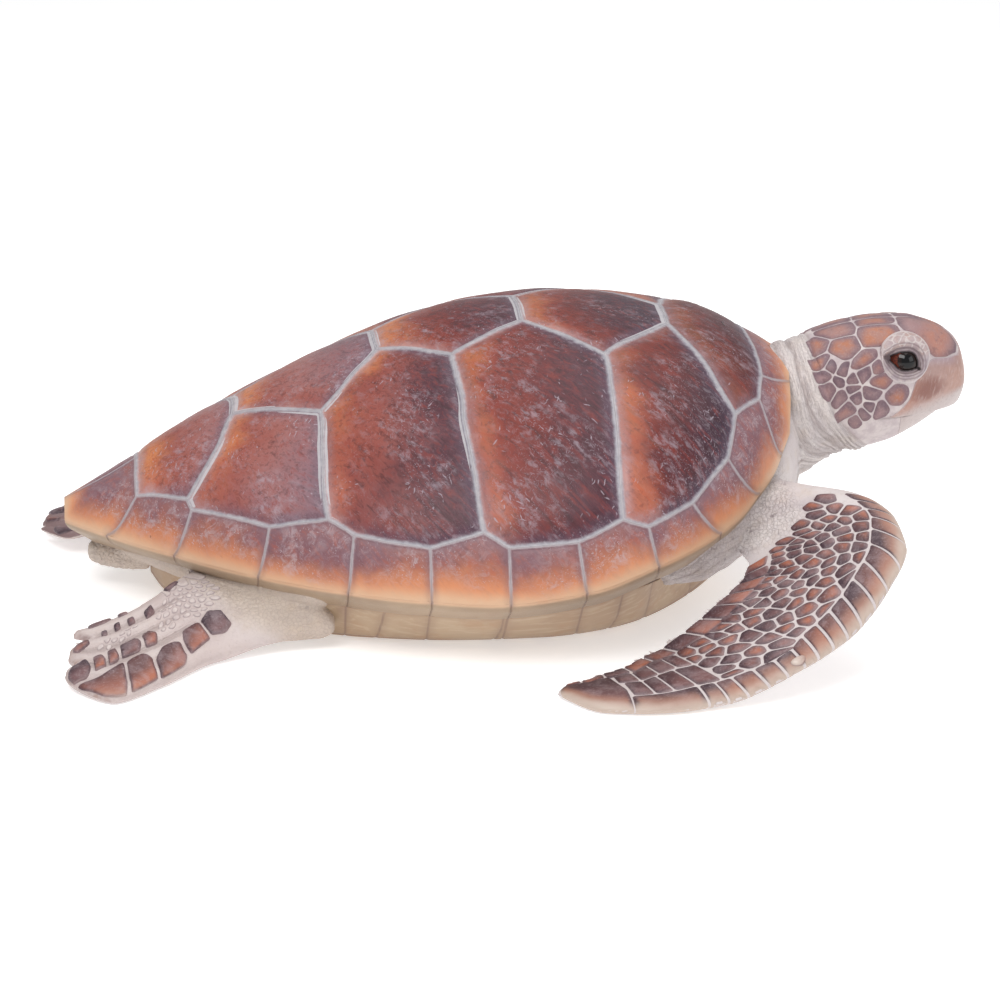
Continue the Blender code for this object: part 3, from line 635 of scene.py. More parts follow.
def seam_relief(edge, width):
    """By distance from the seam: the flat seam, the shallow groove beside it, and the crown of the plate."""
    depth = SEAM_DEPTH * width / SEAM_WIDTH
    crown = CROWN_HEIGHT * ease(edge, width * 0.8, CROWN_REACH)
    return crown - depth * bump_at(edge, width * 1.25, width * 0.55)


def rear_reach(places, outline):
    """Metres forward from the plate's rear seam, for places (u, a)."""
    levels = np.linspace(outline[:, 1].min(), outline[:, 1].max(), REAR_LEVELS)
    reach = (levels[1] - levels[0]) * 1.1
    rearmost = [outline[np.abs(outline[:, 1] - level) < reach, 0].min() for level in levels]
    return (places[:, 0] - np.interp(places[:, 1], levels, rearmost)) * SHELL_LENGTH


def under_rim(points, profile_in, profile_down):
    """Rows of points below the rim, in toward the shell's long axis."""
    axis_x = np.clip(points[:, 0], -0.28, 0.16)
    away = np.stack([axis_x - points[:, 0], -points[:, 1], np.zeros(len(points))], axis=-1)
    length = np.linalg.norm(away, axis=1, keepdims=True)
    inward = np.minimum(profile_in, length * 0.8)
    return points + away / np.maximum(length, 1e-9) * inward - np.array([0, 0, profile_down])


def build_scute(name, corners, surface, tone):
    outline, on_rim = scute_outline(corners)
    outline = wandered(outline)
    count, is_rim_plate = len(outline), bool(on_rim.any())
    middle = outline.mean(axis=0)
    centre = shell(middle[0], np.sin(middle[1]))
    border = shell(outline[:, 0], np.sin(outline[:, 1]))
    spoke = np.linalg.norm(border - centre, axis=1)
    reaches = RING_REACH[RING_REACH < spoke.mean() * 0.9]
    even = (reaches / reaches[-1])[:, None] ** 1.5
    share = np.minimum(reaches[:, None] / spoke, 0.95) * (1 - even) + reaches[:, None] / spoke.mean() * even
    places = np.vstack([(outline + (middle - outline) * share[..., None]).reshape(-1, 2), middle])
    points = shell(places[:, 0], np.sin(places[:, 1]))
    edge = distance_to(points, border[~on_rim])
    relief = seam_relief(edge, RIM_SEAM_WIDTH if is_rim_plate else SEAM_WIDTH)
    relief[:count][on_rim] = 0
    points = points + shell_normals(places[:, 0], places[:, 1]) * relief[:, None]
    hub = len(reaches) * count
    faces = [grid_faces(len(reaches), count, wrap=True), fan_faces(np.arange(hub - count, hub), hub)]
    numbers = {
        "edge": edge,
        "rear": rear_reach(places, outline),
        "side": np.abs(places[:, 1]) / (np.abs(outline[:, 1]).max() + 1e-6),
        "rim": distance_to(points, border[on_rim]),
        "under": np.zeros(len(points)),
        "tone": np.full(len(points), tone),
    }
    loop = np.arange(count)
    if is_rim_plate:
        points, faces, numbers, loop = add_under_band(points, faces, numbers, on_rim)
    inner = points[loop].mean(axis=0)
    if not is_rim_plate:
        inner = inner * 0.35 + (centre - shell_normals(*middle) * PLATE_HOLLOW) * 0.65
    faces.append(fan_faces(loop[::-1], len(points)))
    last = {key: 0.0 if key == "edge" else values[0] for key, values in numbers.items()}
    numbers = {key: np.append(values, last[key]) for key, values in numbers.items()}
    piece = mesh_object(name, np.vstack([points, inner]), faces, numbers, flat=len(loop))
    dress(piece, surface, "carapace")


def add_under_band(points, faces, numbers, on_rim):
    """Carries a rim plate round the rim and in along its underside."""
    start = int(np.flatnonzero(on_rim & ~np.roll(on_rim, 1))[0])
    run, count, first = int(on_rim.sum()), len(on_rim), len(points)
    column = (start + np.arange(run + 1)) % count
    profile = [(k / (len(RIM_PROFILE) - 1), pair) for k, pair in enumerate(RIM_PROFILE)]
    profile = smooth(profile, np.linspace(0, 1, UNDER_ROWS + 1)[1:])
    rim = points[column]
    rows = [under_rim(rim, inward, down) for inward, down in profile]
    band = np.concatenate(rows)
    edge = distance_to(band, np.concatenate([row[[0, -1]] for row in [rim] + rows]))
    lift = seam_relief(edge, RIM_SEAM_WIDTH) - 0.0007 * ease(edge, 0, CROWN_REACH)
    outward = unit(band * np.array([1, 1, 0]) + np.array([0.1, 0, -0.12]))
    fade = np.repeat(ease(np.arange(1, UNDER_ROWS + 1), 0, 3), len(column))
    band = band + outward * (lift * fade)[:, None]
    below = first + np.arange(run)
    top = np.stack([column[:-1], below, below + 1, column[1:]], axis=-1)
    faces = faces + [(grid_faces(UNDER_ROWS, len(column)) + first)[:, ::-1], top]
    full = np.ones(len(band))
    extra = {
        "edge": edge, "rear": full * 0.03, "side": full, "rim": full * 0,
        "under": np.repeat(ease(profile[:, 1], 0.001, 0.0045), len(column)),
        "tone": full * numbers["tone"][0],
    }
    numbers = {key: np.concatenate([numbers[key], extra[key]]) for key in numbers}
    others = (start + run + np.arange(count - run + 1)) % count
    grid = first + np.arange(len(band)).reshape(UNDER_ROWS, len(column))
    loop = np.concatenate([others[:-1], [column[0]], grid[:, 0], grid[-1, 1:], grid[::-1, -1][1:]])
    return np.vstack([points, band]), faces, numbers, loop


def build_pair(name, corners, surface, left_tone, right_tone):
    build_scute(f"{name}_left", corners, surface, left_tone % 1)
    build_scute(f"{name}_right", mirrored(corners), surface, right_tone % 1)


def build_carapace():
    plate, rim = scute_paint(), marginal_paint()
    for k, corners in enumerate(vertebral_scutes()):
        build_scute(f"scute_vertebral_{5 - k}", corners, plate, (k * 0.37) % 1)
    build_scute("scute_nuchal", nuchal_scute(), rim, 0.5)
    for k, corners in enumerate(costal_scutes()):
        build_pair(f"scute_costal_{4 - k}", corners, plate, k * 0.29 + 0.1, k * 0.29 + 0.2)
    for k, corners in enumerate(marginal_scutes()):
        name = f"scute_marginal_{11 - k}" if k < 11 else "scute_supracaudal"
        build_pair(name, corners, rim, k * 0.41, k * 0.41 + 0.3)


# ---------------------------------------------------------------- plastron

PLASTRON = (
    (-0.350, 0.016, 0.018), (-0.338, 0.044, 0.010), (-0.300, 0.080, 0.0), (-0.250, 0.112, 0.0),
    (-0.200, 0.148, 0.0), (-0.150, 0.166, 0.0), (-0.060, 0.178, 0.0), (0.020, 0.178, 0.0),
    (0.080, 0.170, 0.002), (0.125, 0.155, 0.006), (0.170, 0.132, 0.016), (0.210, 0.100, 0.034),
    (0.238, 0.056, 0.054), (0.250, 0.016, 0.068),
)
REAR_LOBE = ((-0.350, 0.022, 0.032), (-0.338, 0.056, 0.036), (-0.300, 0.100, 0.042), (-0.235, 0.148, 0.046))
FRONT_LOBE = (
    (0.135, 0.205, 0.066), (0.170, 0.162, 0.072), (0.210, 0.110, 0.088), (0.238, 0.064, 0.094),
    (0.250, 0.022, 0.092),
)
BRIDGE_REAR_X, BRIDGE_FRONT_X = -0.195, 0.105
PLASTRON_THICKNESS = 0.022
RIM_BAND_IN, RIM_BAND_DROP = 0.030, 0.026
PLASTRON_SEAM_X = (0.178, 0.082, -0.030, -0.138, -0.232)
BRIDGE_SEAM_U = (0.371, 0.477, 0.578, 0.676, 0.773)
PLASTRON_RINGS, SECTION_STEPS = 300, 72
# The steps of the section where the seam along the bridge runs, and where the seams across the bridge begin
LONG_SEAM_STEP, CROSS_SEAM_STEP = 40, 26


def plastron_paint():
    """Cream with ochre and brown stains, and thin brown seams."""
    p = Paint("plastron_paint", roughness=0.45, specular=0.4)
    edge, rise = p.numbers("edge", "rise")
    broad = p.noise(11.0, 3.0, 0.6)
    medium = p.noise(36.0, 4.0, 0.65, 0.4)
    p.colour = p.mix(p.span(broad, 0.32, 0.68), paint(180, 156, 130), paint(166, 138, 112))
    ochre = p.span(medium, 0.48, 0.72) * p.span(rise, 0.001, 0.02, 0.75, 0.35)
    p.lay(ochre, 168, 124, 90)
    streak = p.noise(1.0, 4.0, 0.6, 0.5, p.strands((1.0, 0.0, 0.1), 0.050, 0.0060))
    p.lay(p.span(streak, 0.48, 0.66, 0.0, 0.45), 196, 176, 150)
    stain = p.span(p.noise(20.0, 3.0, 0.6), 0.58, 0.74) * 0.4
    p.lay(stain, 136, 108, 98)
    shade = 1.0 - p.span(medium * 0.006 + edge, 0.003, 0.014)
    p.lay(shade * 0.4, 148, 120, 100)
    seam = 1.0 - p.span(edge, 0.0004, 0.0017)
    p.lay(seam * 0.55, 120, 92, 84)
    return p.finish(p.noise(90.0, 4.0, 0.6), 0.0004, 0.25)


def bridge_line(x):
    """Half width and height where the bridges and lobes of the plastron end."""
    u = np.linspace(0.28, 0.82, 40)
    rim = shell(u, 1.0)
    meet = under_rim(rim, RIM_BAND_IN, RIM_BAND_DROP)
    inside = (meet[:, 0] >= BRIDGE_REAR_X) & (meet[:, 0] <= BRIDGE_FRONT_X)
    bridge = [(row[0], (row[1], row[2])) for row in meet[inside]]
    lobes = [[(row[0], row[1:]) for row in lobe] for lobe in (REAR_LOBE, FRONT_LOBE)]
    return smooth(lobes[0] + bridge + lobes[1], x)


def plastron_section(x):
    """Points of one half of the section, from the middle of the flat out and up to the bridge's edge."""
    flat, low = smooth([(row[0], row[1:]) for row in PLASTRON], x)
    wide, high = bridge_line(np.array([x]))[0]
    low = max(low, 0.0)
    knee = (flat + (wide - flat) * 0.22, low + (high - low) * 0.09)
    bulge = (flat + (wide - flat) * 0.58, low + (high - low) * 0.44)
    top = (wide + 0.0015, high + 0.001)
    outline = [(0, (0.0, low)), (0.35, (flat * 0.9, low)), (0.52, knee), (0.72, bulge), (1, top)]
    return smooth(outline, np.linspace(0, 1, SECTION_STEPS))


def build_plastron():
    xs = np.linspace(PLASTRON[0][0], PLASTRON[-1][0], PLASTRON_RINGS)
    halves = np.stack([plastron_section(x) for x in xs])
    low, (wide, high) = halves[:, 0, 1], halves[:, -1].T
    inner = np.stack([wide * 0.6, np.minimum(low + PLASTRON_THICKNESS, high)], axis=-1)[:, None]
    half = np.concatenate([halves, inner], axis=1)
    ring = np.concatenate([half, (half * np.array([-1, 1]))[:, ::-1][:, :-1]], axis=1)
    rows, columns = ring.shape[:2]
    points = np.concatenate([np.repeat(xs, columns)[:, None], ring.reshape(-1, 2)], axis=1)
    x, y, rise = points.T.copy()
    side = np.abs(y)
    edge = side
    for seam in PLASTRON_SEAM_X:
        sway = 0.008 * np.cos(y * 26) + noise(points, 0.03, 5) * 0.0015
        edge = np.minimum(edge, np.abs(x - seam - sway))
    edge = np.minimum(edge, np.abs(side - np.interp(x, xs, halves[:, LONG_SEAM_STEP, 0])) + 0.0002)
    on_bridge = side > np.interp(x, xs, halves[:, CROSS_SEAM_STEP, 0])
    for u in BRIDGE_SEAM_U:
        across = np.abs(x - shell(u, 1.0)[0] - noise(points, 0.04, 8) * 0.001)
        edge = np.minimum(edge, np.where(on_bridge, across, 1.0))
    to_rim = np.hypot(np.interp(x, xs, wide) - side, np.interp(x, xs, high) - rise)
    edge = np.minimum(edge, to_rim + 0.0003)
    outward = unit(np.stack([x * 0, y * 4, np.full(len(x), -0.6)], axis=-1))
    relief = -0.0009 * (1 - ease(edge, 0, 0.0022)) * ease(rise, -0.001, 0.002)
    points = points + outward * relief[:, None]
    points[:, 2] = np.maximum(points[:, 2], 0)
    ends = [np.arange(columns), np.arange(columns) + (rows - 1) * columns]
    hubs = np.array([points[end].mean(axis=0) for end in ends])
    caps = [fan_faces(ends[0], len(points)), fan_faces(ends[1][::-1], len(points) + 1)]
    numbers = {"edge": np.append(edge, [0.01, 0.01]), "rise": np.append(rise, hubs[:, 2])}
    faces = [grid_faces(rows, columns, wrap=True)[:, ::-1], *caps]
    piece = mesh_object("plastron_plates", np.vstack([points, hubs]), faces, numbers)
    dress(piece, plastron_paint(), "plastron")


# ---------------------------------------------------------------- flesh, as in the solids

TRUNK_REAR = (
    (-0.385, 0.022, 0.054, 0.012), (-0.365, 0.050, 0.056, 0.020), (-0.320, 0.100, 0.057, 0.032),
    (-0.240, 0.172, 0.060, 0.042), (-0.190, 0.200, 0.062, 0.044), (-0.150, 0.170, 0.050, 0.024),
)
TRUNK_FRONT = (
    (0.070, 0.190, 0.066, 0.036), (0.110, 0.212, 0.082, 0.056), (0.170, 0.224, 0.094, 0.064),
    (0.220, 0.182, 0.109, 0.069), (0.255, 0.138, 0.119, 0.063), (0.280, 0.096, 0.129, 0.060),
    (0.296, 0.048, 0.136, 0.042),
)
NECK = (
    (0.235, 0.212, 0.092, 0.066, 2.0), (0.265, 0.222, 0.087, 0.067, 2.0), (0.290, 0.228, 0.099, 0.064, 2.0),
    (0.308, 0.231, 0.112, 0.059, 2.0), (0.3245, 0.233, 0.119, 0.0560, 2.0),
)
HEAD = (
    (0.3250, 0.235, 0.118, 0.0545, 2.1), (0.340, 0.242, 0.120, 0.0560, 2.2),
    (0.362, 0.249, 0.125, 0.0565, 2.3), (0.385, 0.253, 0.130, 0.0545, 2.35),
    (0.405, 0.253, 0.137, 0.0500, 2.35), (0.422, 0.249, 0.144, 0.0435, 2.3),
    (0.438, 0.243, 0.152, 0.0375, 2.2), (0.450, 0.235, 0.158, 0.0305, 2.1),
    (0.458, 0.225, 0.163, 0.0230, 2.0), (0.463, 0.2100, 0.173, 0.0150, 2.0),
    (0.4655, 0.199, 0.182, 0.0070, 2.0),
)
HEAD_PLANE_Z = 0.175
HEAD_PLANE_LEAN = 0.40
LEAN_ENDS_X = 0.405
MOUTH_Z = 0.1645
MOUTH_CORNER_X = 0.374
JAW_INSET = 0.0022
JAW_TIP_SETBACK = 0.011
EYE_CENTRE = (0.400, 0.0375, 0.2210)
BROW_RADIUS = 0.031
BROW_RISE = 0.0045
FRONT_FLIPPER = (
    ((0.238, -0.100, 0.120), (0.165, -0.110, 0.092), 0.060),
    ((0.286, -0.156, 0.129), (0.188, -0.165, 0.088), 0.058),
    ((0.326, -0.200, 0.137), (0.208, -0.196, 0.082), 0.048),
    ((0.348, -0.242, 0.130), (0.214, -0.208, 0.076), 0.040),
    ((0.351, -0.280, 0.116), (0.206, -0.222, 0.068), 0.034),
    ((0.328, -0.315, 0.088), (0.191, -0.236, 0.060), 0.030),
    ((0.286, -0.346, 0.053), (0.170, -0.250, 0.050), 0.026),
    ((0.229, -0.368, 0.028), (0.146, -0.266, 0.036), 0.023),
    ((0.172, -0.376, 0.008), (0.116, -0.262, 0.014), 0.024),
    ((0.115, -0.384, 0.005), (0.086, -0.284, 0.009), 0.019),
    ((0.057, -0.376, 0.004), (0.054, -0.300, 0.007), 0.016),
    ((0.017, -0.336, 0.005), (0.022, -0.318, 0.005), 0.009),
)
HIND_RIGHT = (
    ((-0.176, -0.110, 0.056), (-0.262, -0.070, 0.060), 0.036),
    ((-0.178, -0.195, 0.022), (-0.285, -0.098, 0.052), 0.054),
    ((-0.235, -0.204, 0.016), (-0.312, -0.112, 0.050), 0.040),
    ((-0.290, -0.222, 0.005), (-0.338, -0.134, 0.043), 0.030),
    ((-0.341, -0.273, 0.004), (-0.366, -0.156, 0.035), 0.024),
    ((-0.388, -0.308, 0.003), (-0.394, -0.170, 0.029), 0.020),
    ((-0.436, -0.292, 0.004), (-0.424, -0.182, 0.025), 0.015),
)
HIND_LEFT = (
    ((-0.176, 0.110, 0.056), (-0.262, 0.070, 0.060), 0.036),
    ((-0.190, 0.168, 0.030), (-0.290, 0.092, 0.052), 0.056),
    ((-0.246, 0.186, 0.020), (-0.325, 0.098, 0.048), 0.040),
    ((-0.305, 0.212, 0.006), (-0.360, 0.100, 0.040), 0.030),
    ((-0.362, 0.228, 0.004), (-0.396, 0.086, 0.029), 0.024),
    ((-0.415, 0.226, 0.004), (-0.430, 0.082, 0.020), 0.020),
    ((-0.456, 0.194, 0.004), (-0.462, 0.116, 0.018), 0.015),
)
TOE_NOTCHES = ((-0.58, 0.090, 0.20), (0.10, 0.035, 0.14))
OUTER_TOE_TRIM = 0.16
TAIL = (
    (-0.350, 0.036, 0.042, 0.024), (-0.375, 0.030, 0.040, 0.021), (-0.398, 0.019, 0.037, 0.015),
    (-0.412, 0.008, 0.036, 0.007),
)
FOLD_LEAN = 0.40
FOLD_SWEEP, FOLD_SWEEP_Z = 0.0062, 0.174
SKIN_VOXEL = 0.0015
HEAD_RINGS, HEAD_SIDES, BODY_SIDES = 110, 150, 160
TRAILING_LOBES = 17
LOBE_REACH = 0.0052
BLADE_CLOSES = 0.95
BLADE_STEP = 0.02
FRONT_SHARPNESS, HIND_SHARPNESS = 0.45, 0.15


def tube(points_grid):
    """Points and faces of a closed tube from a grid of rings, each end filled to its middle."""
    rows, columns = points_grid.shape[:2]
    points = points_grid.reshape(-1, 3)
    hubs = np.array([points_grid[0].mean(axis=0), points_grid[-1].mean(axis=0)])
    first = fan_faces(np.arange(columns)[::-1], len(points))
    last = fan_faces(np.arange(columns) + (rows - 1) * columns, len(points) + 1)
    return np.vstack([points, hubs]), [grid_faces(rows, columns, wrap=True), first, last]


def oval(angle, half_width, half_height, squareness):
    power = 2 / squareness
    y = half_width * np.sign(np.cos(angle)) * np.abs(np.cos(angle)) ** power
    z = half_height * np.sign(np.sin(angle)) * np.abs(np.sin(angle)) ** power
    return y, z


def turns(count):
    return np.arange(count) * (2 * math.pi / count)


def oval_body(rows, steps, sides, squareness=2.0):
    """A body of upright ovals along X, through rows of (x, half width, centre height, half height)."""
    pairs = [(row[0], row[1:]) for row in rows]
    x = np.linspace(rows[0][0], rows[-1][0], steps)[:, None]
    size = smooth(pairs, x[:, 0])[:, None]
    y, z = oval(turns(sides)[None], size[..., 0], size[..., 2], squareness)
    return np.stack([np.broadcast_to(x, y.shape), y, size[..., 1] + z], axis=-1)


def neck_surface(steps, sides):
    pairs = [(row[0], row[1:]) for row in NECK]
    x = np.linspace(NECK[0][0], NECK[-1][0] + 0.004, steps)
    top, under, half_width, squareness = (column[:, None] for column in smooth(pairs, x).T)
    share = np.clip((x - NECK[0][0]) / (NECK[-1][0] - NECK[0][0]), 0, 1)[:, None]
    y, z = oval(turns(sides)[None], half_width, (top - under) / 2, squareness)
    z = z + (top + under) / 2
    return np.stack([x[:, None] - HEAD_PLANE_LEAN * share * (z - HEAD_PLANE_Z), y, z], axis=-1)


def head_surface(x, turn, inset=0.0, setback=0.0, brow=True):
    """Points of the head: x is the place of the upright ring, turn goes from 0 at the crown to pi below."""
    x, turn = np.broadcast_arrays(np.asarray(x, float), np.asarray(turn, float))
    size = smooth([(row[0], row[1:]) for row in HEAD], x)
    top, under, half_width, squareness = (size[..., k] for k in range(4))
    y, z = oval(math.pi / 2 - turn, half_width - inset, (top - under) / 2, squareness)
    z = z + (top + under) / 2
    share = np.clip((LEAN_ENDS_X - x) / (LEAN_ENDS_X - HEAD[0][0]), 0, 1)
    ahead = x - HEAD_PLANE_LEAN * share * (z - HEAD_PLANE_Z) - setback * np.clip((x - 0.40) / 0.06, 0, 1)
    points = np.stack([ahead, y, z], axis=-1)
    return raise_brow(points) if brow else points


def raise_brow(points):
    """Pushes the head out round each eye, as the rim of the orbit."""
    side = np.where(points[..., 1:2] < 0, -1.0, 1.0)
    x, y, z = EYE_CENTRE
    eye = np.array([x, 0, z + 0.004]) + side * np.array([0, y + 0.008, 0])
    away = np.linalg.norm(points - eye, axis=-1, keepdims=True)
    rise = BROW_RISE * np.sin(math.pi * np.minimum(away / BROW_RADIUS, 1)) ** 2
    return points + (side * np.array([0, 0.8, 0]) + np.array([0, 0, 0.6])) * rise


def head_places(steps):
    return HEAD[0][0] + (HEAD[-1][0] - HEAD[0][0]) * np.sin(math.pi / 2 * np.linspace(0, 1, steps)) ** 0.85


def blade(rows, t, angle, sharpness, trim=None, lobes=0.0):
    """Points of a flipper. t runs from root to tip; angle 0 is the leading edge."""
    t, angle = np.broadcast_arrays(np.asarray(t, float), np.asarray(angle, float))
    knots = np.linspace(0, 1, len(rows))
    across = np.cos(angle)
    reach = t * (1 - (trim(across) if trim else 0))
    edges = [(k, row[0] + row[1]) for k, row in zip(knots, rows)]
    thick = smooth([(k, row[2]) for k, row in zip(knots, rows)], reach)

    def both_edges(shift):
        both = smooth(edges, reach + shift)
        return both[..., :3], both[..., 3:]

    lead, trail = both_edges(0)
    chord = lead - trail
    ahead, behind = (sum(both_edges(shift)) for shift in (BLADE_STEP, -BLADE_STEP))
    up = unit(np.cross(chord, ahead - behind))
    up = np.where(up[..., 2:] < 0, -up, up)
    close = np.sqrt(np.clip(1 - (np.maximum(t - BLADE_CLOSES, 0) / (1 - BLADE_CLOSES)) ** 2, 0.02, 1))
    lift = thick / 2 * close * np.sin(angle) * (1 - sharpness + sharpness * across)
    points = (lead + trail) / 2 + chord * (across / 2)[..., None] + up * lift[..., None]
    scallops = np.abs(np.sin(math.pi * TRAILING_LOBES * t)) - 0.5
    out = lobes * scallops * ease(-across, 0.80, 1.0) * ease(t, 0.30, 0.42)
    points = points - unit(chord) * out[..., None]
    points[..., 2] = np.maximum(points[..., 2], 0)
    return points


def toe_trim(across):
    """The share of the flipper's length that toe notches and the round outer corner take."""
    outer, notches = np.maximum(0, across - 0.4) / 0.6, 0
    for place, depth, width in TOE_NOTCHES:
        notches = notches + depth * np.maximum(0, 1 - np.abs(across - place) / width)
    return OUTER_TOE_TRIM * outer**2 + notches


def mirror_y(rows):
    return [tuple((x, -y, z) for x, y, z in row[:2]) + (row[2],) for row in rows]


def front_blade(t, angle, side):
    rows = FRONT_FLIPPER if side < 0 else mirror_y(FRONT_FLIPPER)
    return blade(rows, t, angle, FRONT_SHARPNESS, lobes=LOBE_REACH)


def hind_blade(t, angle, side):
    return blade(HIND_RIGHT if side < 0 else HIND_LEFT, t, angle, HIND_SHARPNESS, trim=toe_trim)


def cut(obj, block_low, block_high, operation):
    """Keeps or removes what lies in a block, and leaves a plain mesh."""
    corners = np.where(list(np.ndindex(2, 2, 2)), block_high, block_low)
    quads = [[0, 1, 3, 2], [4, 6, 7, 5], [0, 4, 5, 1], [2, 3, 7, 6], [0, 2, 6, 4], [1, 5, 7, 3]]
    block = mesh_object("block", corners, [np.array(quads)])
    modifier = obj.modifiers.new("cut", "BOOLEAN")
    modifier.object, modifier.operation, modifier.solver = block, operation, "EXACT"
    settle(obj)
    bpy.data.objects.remove(block)


def settle(obj):
    """Turns an object's modifiers into its plain mesh."""
    graph = bpy.context.evaluated_depsgraph_get()
    made = bpy.data.meshes.new_from_object(obj.evaluated_get(graph))
    obj.modifiers.clear()
    old, obj.data = obj.data, made
    bpy.data.meshes.remove(old)


def jaw_surface(x, turn):
    inset = JAW_INSET * ease(x, MOUTH_CORNER_X, MOUTH_CORNER_X + 0.04)
    return head_surface(x, turn, inset, JAW_TIP_SETBACK, brow=False)


def flesh_bodies():
    """The closed bodies that the skin is drawn round."""
    block = (MOUTH_CORNER_X, -0.1, MOUTH_Z - 0.1), (MOUTH_CORNER_X + 0.2, 0.1, MOUTH_Z)
    bodies = []
    for name, surface, operation in (("head", head_surface, "DIFFERENCE"), ("jaw", jaw_surface, "INTERSECT")):
        whole = tube(surface(head_places(HEAD_RINGS)[:, None], turns(HEAD_SIDES)[None]))
        bodies.append(mesh_object(f"{name}_form", *whole))
        cut(bodies[-1], *block, operation)
    grids = {
        "neck_form": neck_surface(40, 120),
        "shoulder_form": oval_body(TRUNK_FRONT, 70, BODY_SIDES, 2.4),
        "hip_form": oval_body(TRUNK_REAR, 70, BODY_SIDES, 2.4),
        "tail_form": oval_body(TAIL[::-1], 40, 60),
    }
    for side, name in SIDES:
        for limb, surface, rings in (("front", front_blade, 300), ("hind", hind_blade, 180)):
            t, angle = np.linspace(0, 1, rings)[:, None], turns(BODY_SIDES)[None]
            grids[f"{limb}_{name}_form"] = surface(t, angle, side)
    return bodies + [mesh_object(name, *tube(grid)) for name, grid in grids.items()]


def join(objects, name):
    """One object from several, with only their points and faces."""
    points, faces, first = [], [], 0
    for obj in objects:
        obj.data.calc_loop_triangles()
        triangles = np.empty(len(obj.data.loop_triangles) * 3, np.int32)
        obj.data.loop_triangles.foreach_get("vertices", triangles)
        points.append(points_of(obj.data))
        faces.append(triangles.reshape(-1, 3) + first)
        first += len(obj.data.vertices)
        bpy.data.objects.remove(obj)
    return mesh_object(name, np.vstack(points), faces)


def edge_ends(mesh):
    ends = np.empty(len(mesh.edges) * 2, np.int32)
    mesh.edges.foreach_get("vertices", ends)
    return ends.reshape(-1, 2)


def relaxed(points, ends, rounds, share=0.5):
    """Moves each point toward the middle of its neighbours, more where share is larger."""
    count = np.bincount(ends.ravel(), minlength=len(points))[:, None]
    share = np.broadcast_to(np.asarray(share, float), (len(points),))[:, None]
    here, there = ends.T
    for _ in range(rounds):
        total = np.stack([
            np.bincount(here, along[there], len(points)) + np.bincount(there, along[here], len(points))
            for along in points.T
        ], axis=-1)
        points = points + (total / np.maximum(count, 1) - points) * share
    return points


def neck_place(points):
    """How far forward a point lies, across the neck's folds, which lean and sweep forward under the jaw."""
    share = np.clip((points[:, 0] - NECK[0][0]) / (NECK[-1][0] - NECK[0][0]), 0, 1)
    sweep = FOLD_SWEEP * (np.maximum(FOLD_SWEEP_Z - points[:, 2], 0) / 0.02) ** 1.5
    return points[:, 0] + FOLD_LEAN * share * (points[:, 2] - HEAD_PLANE_Z) - sweep * share**2


def on_neck(points):
    return 1 - ease(np.abs(points[:, 1]), 0.072, 0.092)


# Folds behind the head, as (height, place, width), and the places of finer folds under the throat
COLLAR_FOLDS = (
    (0.0017, 0.3140, 0.0075), (-0.0014, 0.3000, 0.0030), (0.0009, 0.2915, 0.0050),
    (-0.0012, 0.2820, 0.0026), (0.0009, 0.2740, 0.0055), (-0.0009, 0.2650, 0.0026),
)
THROAT_FOLD_WIDTH = 0.0014
THROAT_FOLDS = (0.3190, 0.3135, 0.3072, 0.2960, 0.2905, 0.2780, 0.2700, 0.2610)


def neck_relief(points):
    """Folds of the neck, which run with the back of the head, and fine wrinkles between them."""
    place = neck_place(points)
    swayed = place + (noise(points, 0.040, 11) * 0.0030 + noise(points, 0.014, 12) * 0.0012)
    body = ease(place, 0.240, 0.258) * (1 - ease(place, 0.3200, 0.3260)) * on_neck(points)
    collar = sum(height * bump_at(swayed, at, width) for height, at, width in COLLAR_FOLDS)
    low = ease(0.168 - points[:, 2], 0, 0.024)
    folds = sum(bump_at(swayed, at, THROAT_FOLD_WIDTH) for at in THROAT_FOLDS)
    fine = np.abs(np.sin((swayed + noise(points, 0.010, 14) * 0.0022) * math.pi / 0.0036)) - 0.6
    patchy = 0.5 + 0.5 * noise(points, 0.018, 15)
    return body * (collar - 0.0016 * low * folds + fine * 0.00040 * patchy)


def crease_at_head(points):
    place = neck_place(points) + noise(points, 0.014, 17) * 0.0012
    return -0.0010 * bump_at(place, 0.3245, 0.0018) * on_neck(points)


def limb_chart(points, surface, steps=260, sides=140):
    """Nearest (t, angle) of a flipper for each point, with the distance to it."""
    t, angle = np.linspace(0, 1, steps), turns(sides)
    samples = surface(t[:, None], angle[None]).reshape(-1, 3)
    tree = kdtree.KDTree(len(samples))
    for k, sample in enumerate(samples):
        tree.insert(sample, k)
    tree.balance()
    found = np.array([tree.find(point)[1:] for point in points])
    index = found[:, 0].astype(int)
    return t[index // sides], angle[index % sides], found[:, 1]


def limb_weight(distance):
    """1 on a flipper's own surface, and 0 from a few millimetres away from it."""
    return 1 - ease(distance, 0.0035, 0.0075)


def hind_relief(t, angle, points):
    """Toe ridges with creases between them, and round bumps over the middle of the paddle."""
    across = np.cos(angle)
    upper = ease(np.sin(angle), 0.0, 0.25)
    toes = ease(t, 0.42, 0.66)
    creases = sum(bump_at(across, place, 0.060) for place in (-0.56, -0.16, 0.22))
    ridges = np.cos(2 * math.pi * (across + 0.37) / 0.39)
    toes = toes * (1 - ease(t, 0.93, 0.985))
    relief = upper * toes * (ridges * 0.0007 - creases * 0.0015)
    beads = ease(pebbles(points, 0.0060, 21), 0.03, 0.34)
    middle = ease(t, 0.26, 0.36) * (1 - ease(t, 0.50, 0.62)) * ease(0.62 - np.abs(across + 0.02), 0, 0.2)
    return relief + upper * middle * (beads * 0.0006 - 0.0002)


